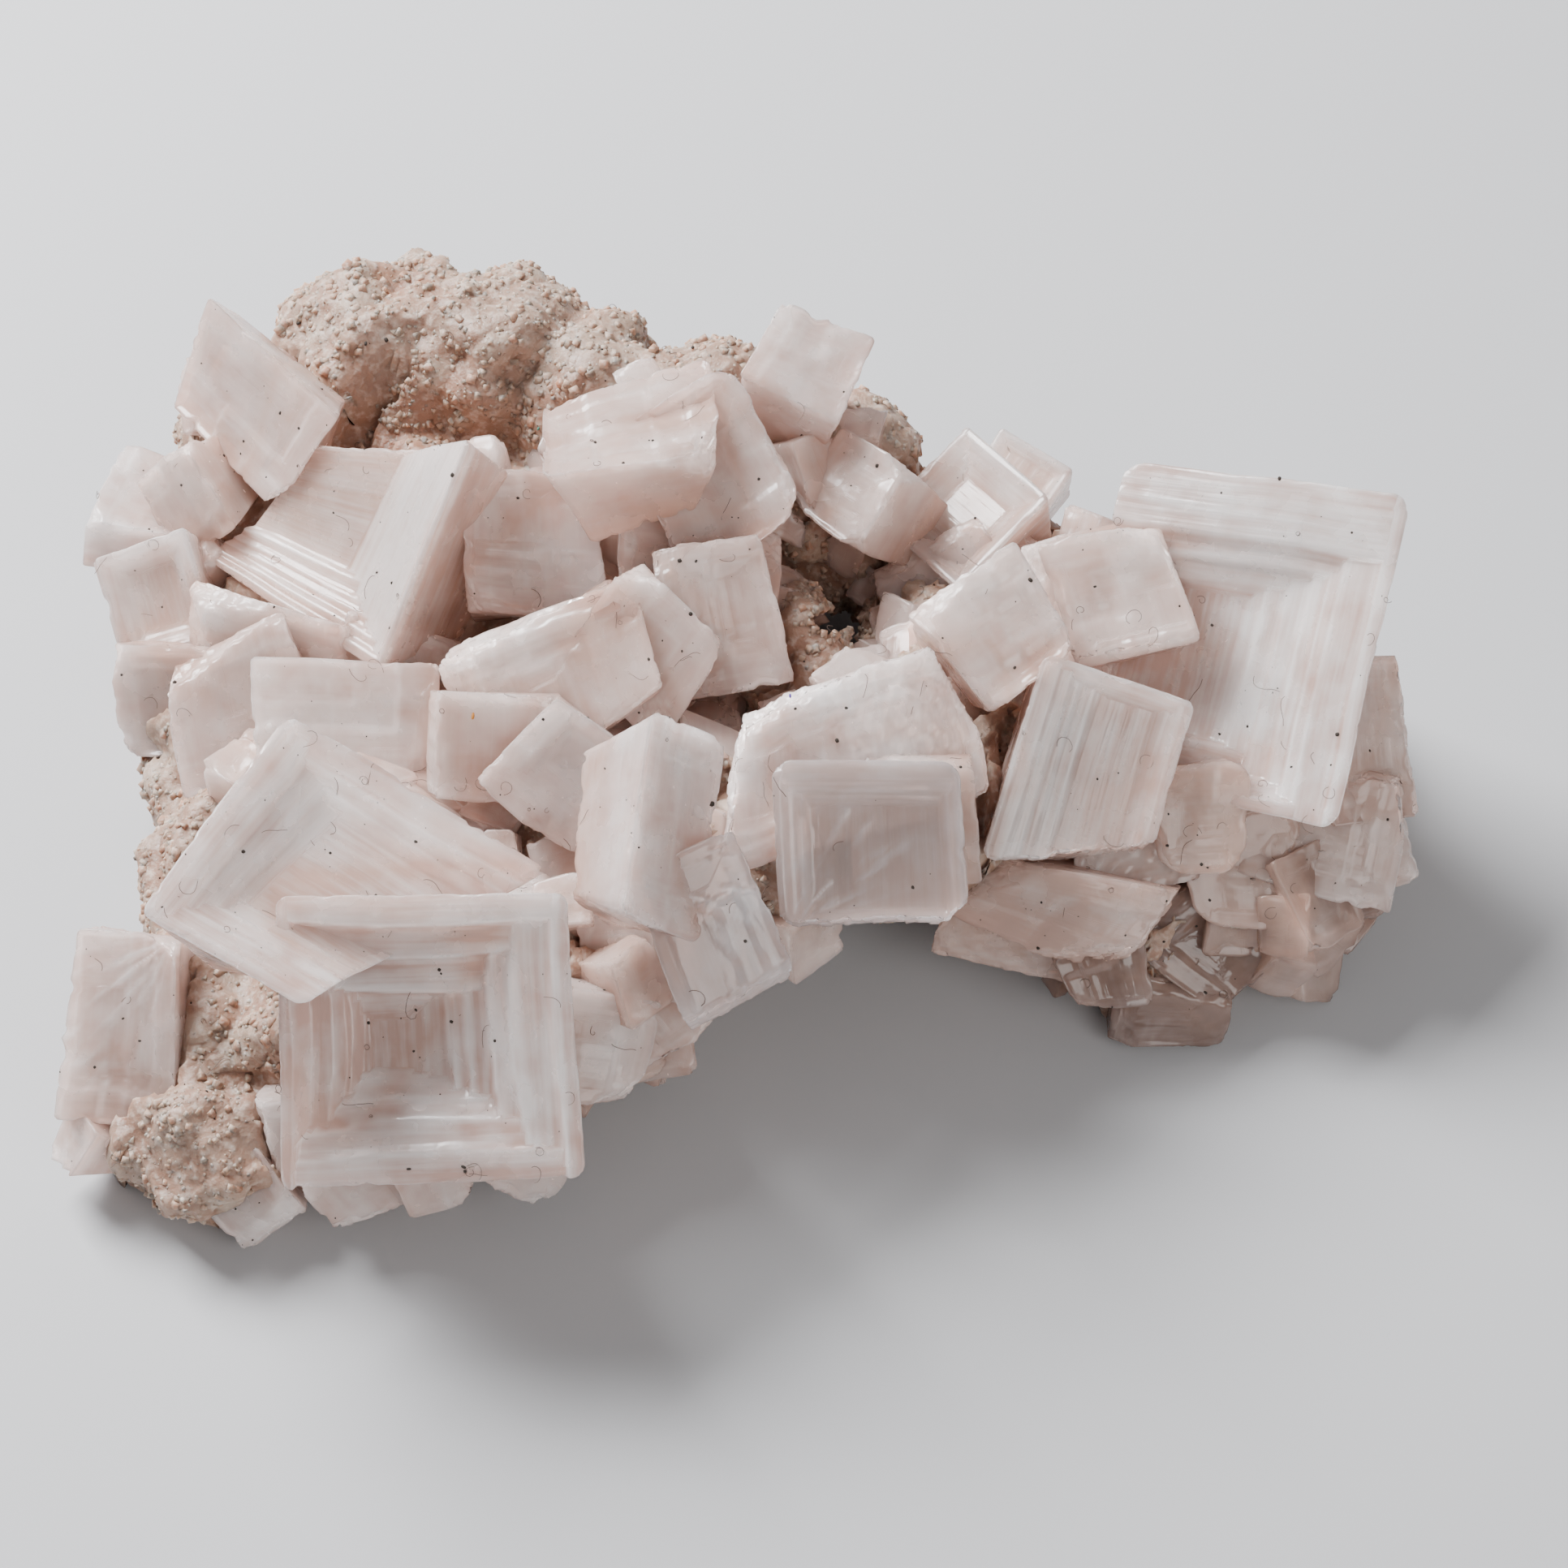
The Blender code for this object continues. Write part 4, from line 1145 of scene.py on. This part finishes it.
# the young crystals in the shaded corner get the darkened finish: painted shade
for kind, finish, wanted in (("milky", milky, False), ("smoky", smoky, True)):
    chosen = [batch for batch, dark in zip(batches, shaded) if dark == wanted]
    for first in range(0, len(chosen), YOUNG_IN_A_MESH):
        points, quads, *values = joined(chosen[first:first + YOUNG_IN_A_MESH])
        make_piece("young_%s_%d" % (kind, first // YOUNG_IN_A_MESH + 1), points, quads, finish, *values)
print("young crystals", len(batches), "triangles", 2 * sum(len(batch[1]) for batch in batches))

# %% [markdown]
# The crust is sugary: it is covered with cubes of salt a quarter of a millimetre across, with a few up to
# two thirds. Each is a plain cube of six faces, and all of them are turned and placed at once as arrays.

# %% Salt grains
GRAIN_CUBES = 16000
GRAIN_SIZES = (0.22, 0.66)
GRAIN_SUNK = 0.10            # how deep a grain's middle sits in the crust, in mm
BALL_RADIUS = 0.62           # of the ball that has about the room of a cube of 1


def turned_at_random(count, random):
    """A random turn matrix for each of the given number of things, from unit quaternions."""
    drawn = random.normal(size=(4, count))
    w, x, y, z = drawn / np.linalg.norm(drawn, axis=0)
    return np.stack([
        np.stack([1 - 2 * (y * y + z * z), 2 * (x * y - w * z), 2 * (x * z + w * y)], 1),
        np.stack([2 * (x * y + w * z), 1 - 2 * (x * x + z * z), 2 * (y * z - w * x)], 1),
        np.stack([2 * (x * z - w * y), 2 * (y * z + w * x), 1 - 2 * (x * x + y * y)], 1)], 1)


def scattered_copies(shape, faces, places, scales, random):
    """Copies of one small shape, each with its own place, random turn and scale along its own axes."""
    turns = turned_at_random(len(places), random)
    copies = np.einsum("nij,nkj->nki", turns, shape[None] * scales[:, None]) + places[:, None]
    numbers = faces[None] + (np.arange(len(places)) * len(shape))[:, None, None]
    return copies.reshape(-1, 3), numbers.reshape(-1, faces.shape[1])


def small_box(steps, roundness):
    """A cube from -0.5 to 0.5 whose points are drawn towards a ball by the roundness."""
    places, faces = box_grid((steps, steps, steps))
    shape = places / steps - 0.5
    ball = shape / np.linalg.norm(shape, axis=1, keepdims=True) * BALL_RADIUS
    return shape * (1.0 - roundness) + ball * roundness, faces


random = np.random.default_rng(72)
bare = (crust_normals[:, 2] > -0.5) & (grown[:, 2] > 1.0)
spots = random.choice(np.flatnonzero(bare), 4 * GRAIN_CUBES)
spots = spots[~inside_crystals(grown[spots], -0.5)][:GRAIN_CUBES]
widths = GRAIN_SIZES[0] + (GRAIN_SIZES[1] - GRAIN_SIZES[0]) * random.uniform(0, 1, len(spots)) ** 4
cube_shape, cube_faces = small_box(1, 0.0)
places = grown[spots] - GRAIN_SUNK * crust_normals[spots] + TO_PART_FRAME
points, quads = scattered_copies(cube_shape, cube_faces, places,
                                 widths[:, None] * random.uniform(0.7, 1.1, (len(spots), 3)), random)
milk, peach = (np.repeat(random.uniform(*shades, len(spots)), len(cube_shape))
               for shades in ((0.7, 1.0), (0.0, 0.8)))
make_piece("salt_grains", points, quads, salty, None, milk, peach, smooth=False)
print("salt grains", len(spots))

# %% [markdown]
# Dust has settled on the specimen: dark specks, and lint fibres from a cloth. To find where they lie, a
# ray is dropped on the specimen at random places, and what it strikes gives the place and the slope.

# %% Dust and lint
SPECKS, FIBRES = 400, 210
SPECK_SIZES = (0.08, 0.30)
FIBRE_LENGTHS = (0.7, 2.6)
FIBRE_RADIUS = 0.024
FIBRE_STEPS = 9
RAY_SLANT = 0.35             # the rays run this far back for each mm down, to strike the front too
COLOURED_SPECKS = (          # name, place along X and Y in mm, size in mm, colour
    ("orange", (-20.6, -9.6), 0.45, (0.62, 0.25, 0.04, 1.0)),
    ("violet", (0.4, -11.2), 0.35, (0.10, 0.06, 0.35, 1.0)),
    ("green", (-17.5, 20.5), 0.35, (0.05, 0.22, 0.16, 1.0)),
)


def dropped_ray(x, y, slant=0.0):
    """Where a ray dropped over x, y (mm) strikes one of the pieces, and the slope there, or nothing."""
    down = Vector((0.0, slant, -1.0)).normalized()
    start = Vector((x * MM, y * MM, 0.0)) - down * 0.1
    graph = bpy.context.evaluated_depsgraph_get()
    struck, place, normal, face, thing, turn = bpy.context.scene.ray_cast(graph, start, down)
    if not struck or thing.name not in piece_names:
        return None
    return np.array(place) / MM, np.array(normal)


def lint(start, normal, length, random):
    """A thin three-sided tube that curls over the surface from its start: points and faces."""
    side = np.cross(normal, random.normal(size=3))
    heading = side / np.linalg.norm(side)
    path = [start + normal * 0.05]
    curl = random.uniform(-1.1, 1.1)
    for step in range(FIBRE_STEPS):
        curl += random.uniform(-0.5, 0.5)
        angle = curl * 0.55
        heading = heading * math.cos(angle) + np.cross(normal, heading) * math.sin(angle)
        path.append(path[-1] + heading * length / FIBRE_STEPS + normal * random.uniform(-0.01, 0.02))
    path = np.array(path)
    along = np.gradient(path, axis=0)
    along /= np.linalg.norm(along, axis=1, keepdims=True)
    first = np.cross(along, normal)
    first /= np.maximum(np.linalg.norm(first, axis=1, keepdims=True), 1e-6)
    second = np.cross(along, first)
    angles = np.arange(3) * 2.0 * np.pi / 3.0
    rings = path[:, None] + FIBRE_RADIUS * (np.cos(angles)[None, :, None] * first[:, None]
                                            + np.sin(angles)[None, :, None] * second[:, None])
    rows = np.arange(FIBRE_STEPS)[:, None] * 3
    here, beside = np.arange(3)[None], (np.arange(3)[None] + 1) % 3
    quads = np.stack([rows + here, rows + beside, rows + 3 + beside, rows + 3 + here], axis=-1)
    return rings.reshape(-1, 3), quads.reshape(-1, 4)


piece_names = {piece.name for piece in made_pieces}
random = np.random.default_rng(73)
landings = []
while len(landings) < SPECKS + FIBRES:
    landing = dropped_ray(*random.uniform(box_low[:2], box_high[:2]), RAY_SLANT)
    if landing is not None and landing[1][2] > 0.25:
        landings.append(landing)

speck_shape, speck_faces = small_box(2, 0.7)
places = np.array([landing[0] for landing in landings[:SPECKS]])
widths = SPECK_SIZES[0] + (SPECK_SIZES[1] - SPECK_SIZES[0]) * random.uniform(0, 1, SPECKS) ** 3
points, quads = scattered_copies(speck_shape, speck_faces, places,
                                 widths[:, None] * random.uniform(0.5, 1.1, (SPECKS, 3)), random)
make_piece("dust_specks", points, quads, plain_material("dust", (0.035, 0.026, 0.02, 1.0), 0.85))

strands = [lint(*landing, random.uniform(*FIBRE_LENGTHS), random) for landing in landings[SPECKS:]]
starts = np.cumsum([0] + [len(strand[0]) for strand in strands[:-1]])
make_piece("lint", np.concatenate([strand[0] for strand in strands]),
           np.concatenate([strand[1] + start for strand, start in zip(strands, starts)]),
           plain_material("lint", (0.11, 0.075, 0.06, 1.0), 0.9))

for speck_name, (x, y), width, colour in COLOURED_SPECKS:
    landing = dropped_ray(x + TO_PART_FRAME[0], y + TO_PART_FRAME[1])
    if landing is not None:
        points, quads = scattered_copies(speck_shape, speck_faces, landing[0][None],
                                         np.full((1, 3), width) * (1.0, 0.5, 0.4), random)
        make_piece("speck_" + speck_name, points, quads, plain_material(speck_name + " speck", colour, 0.6))
print("specks", SPECKS, "fibres", FIBRES)
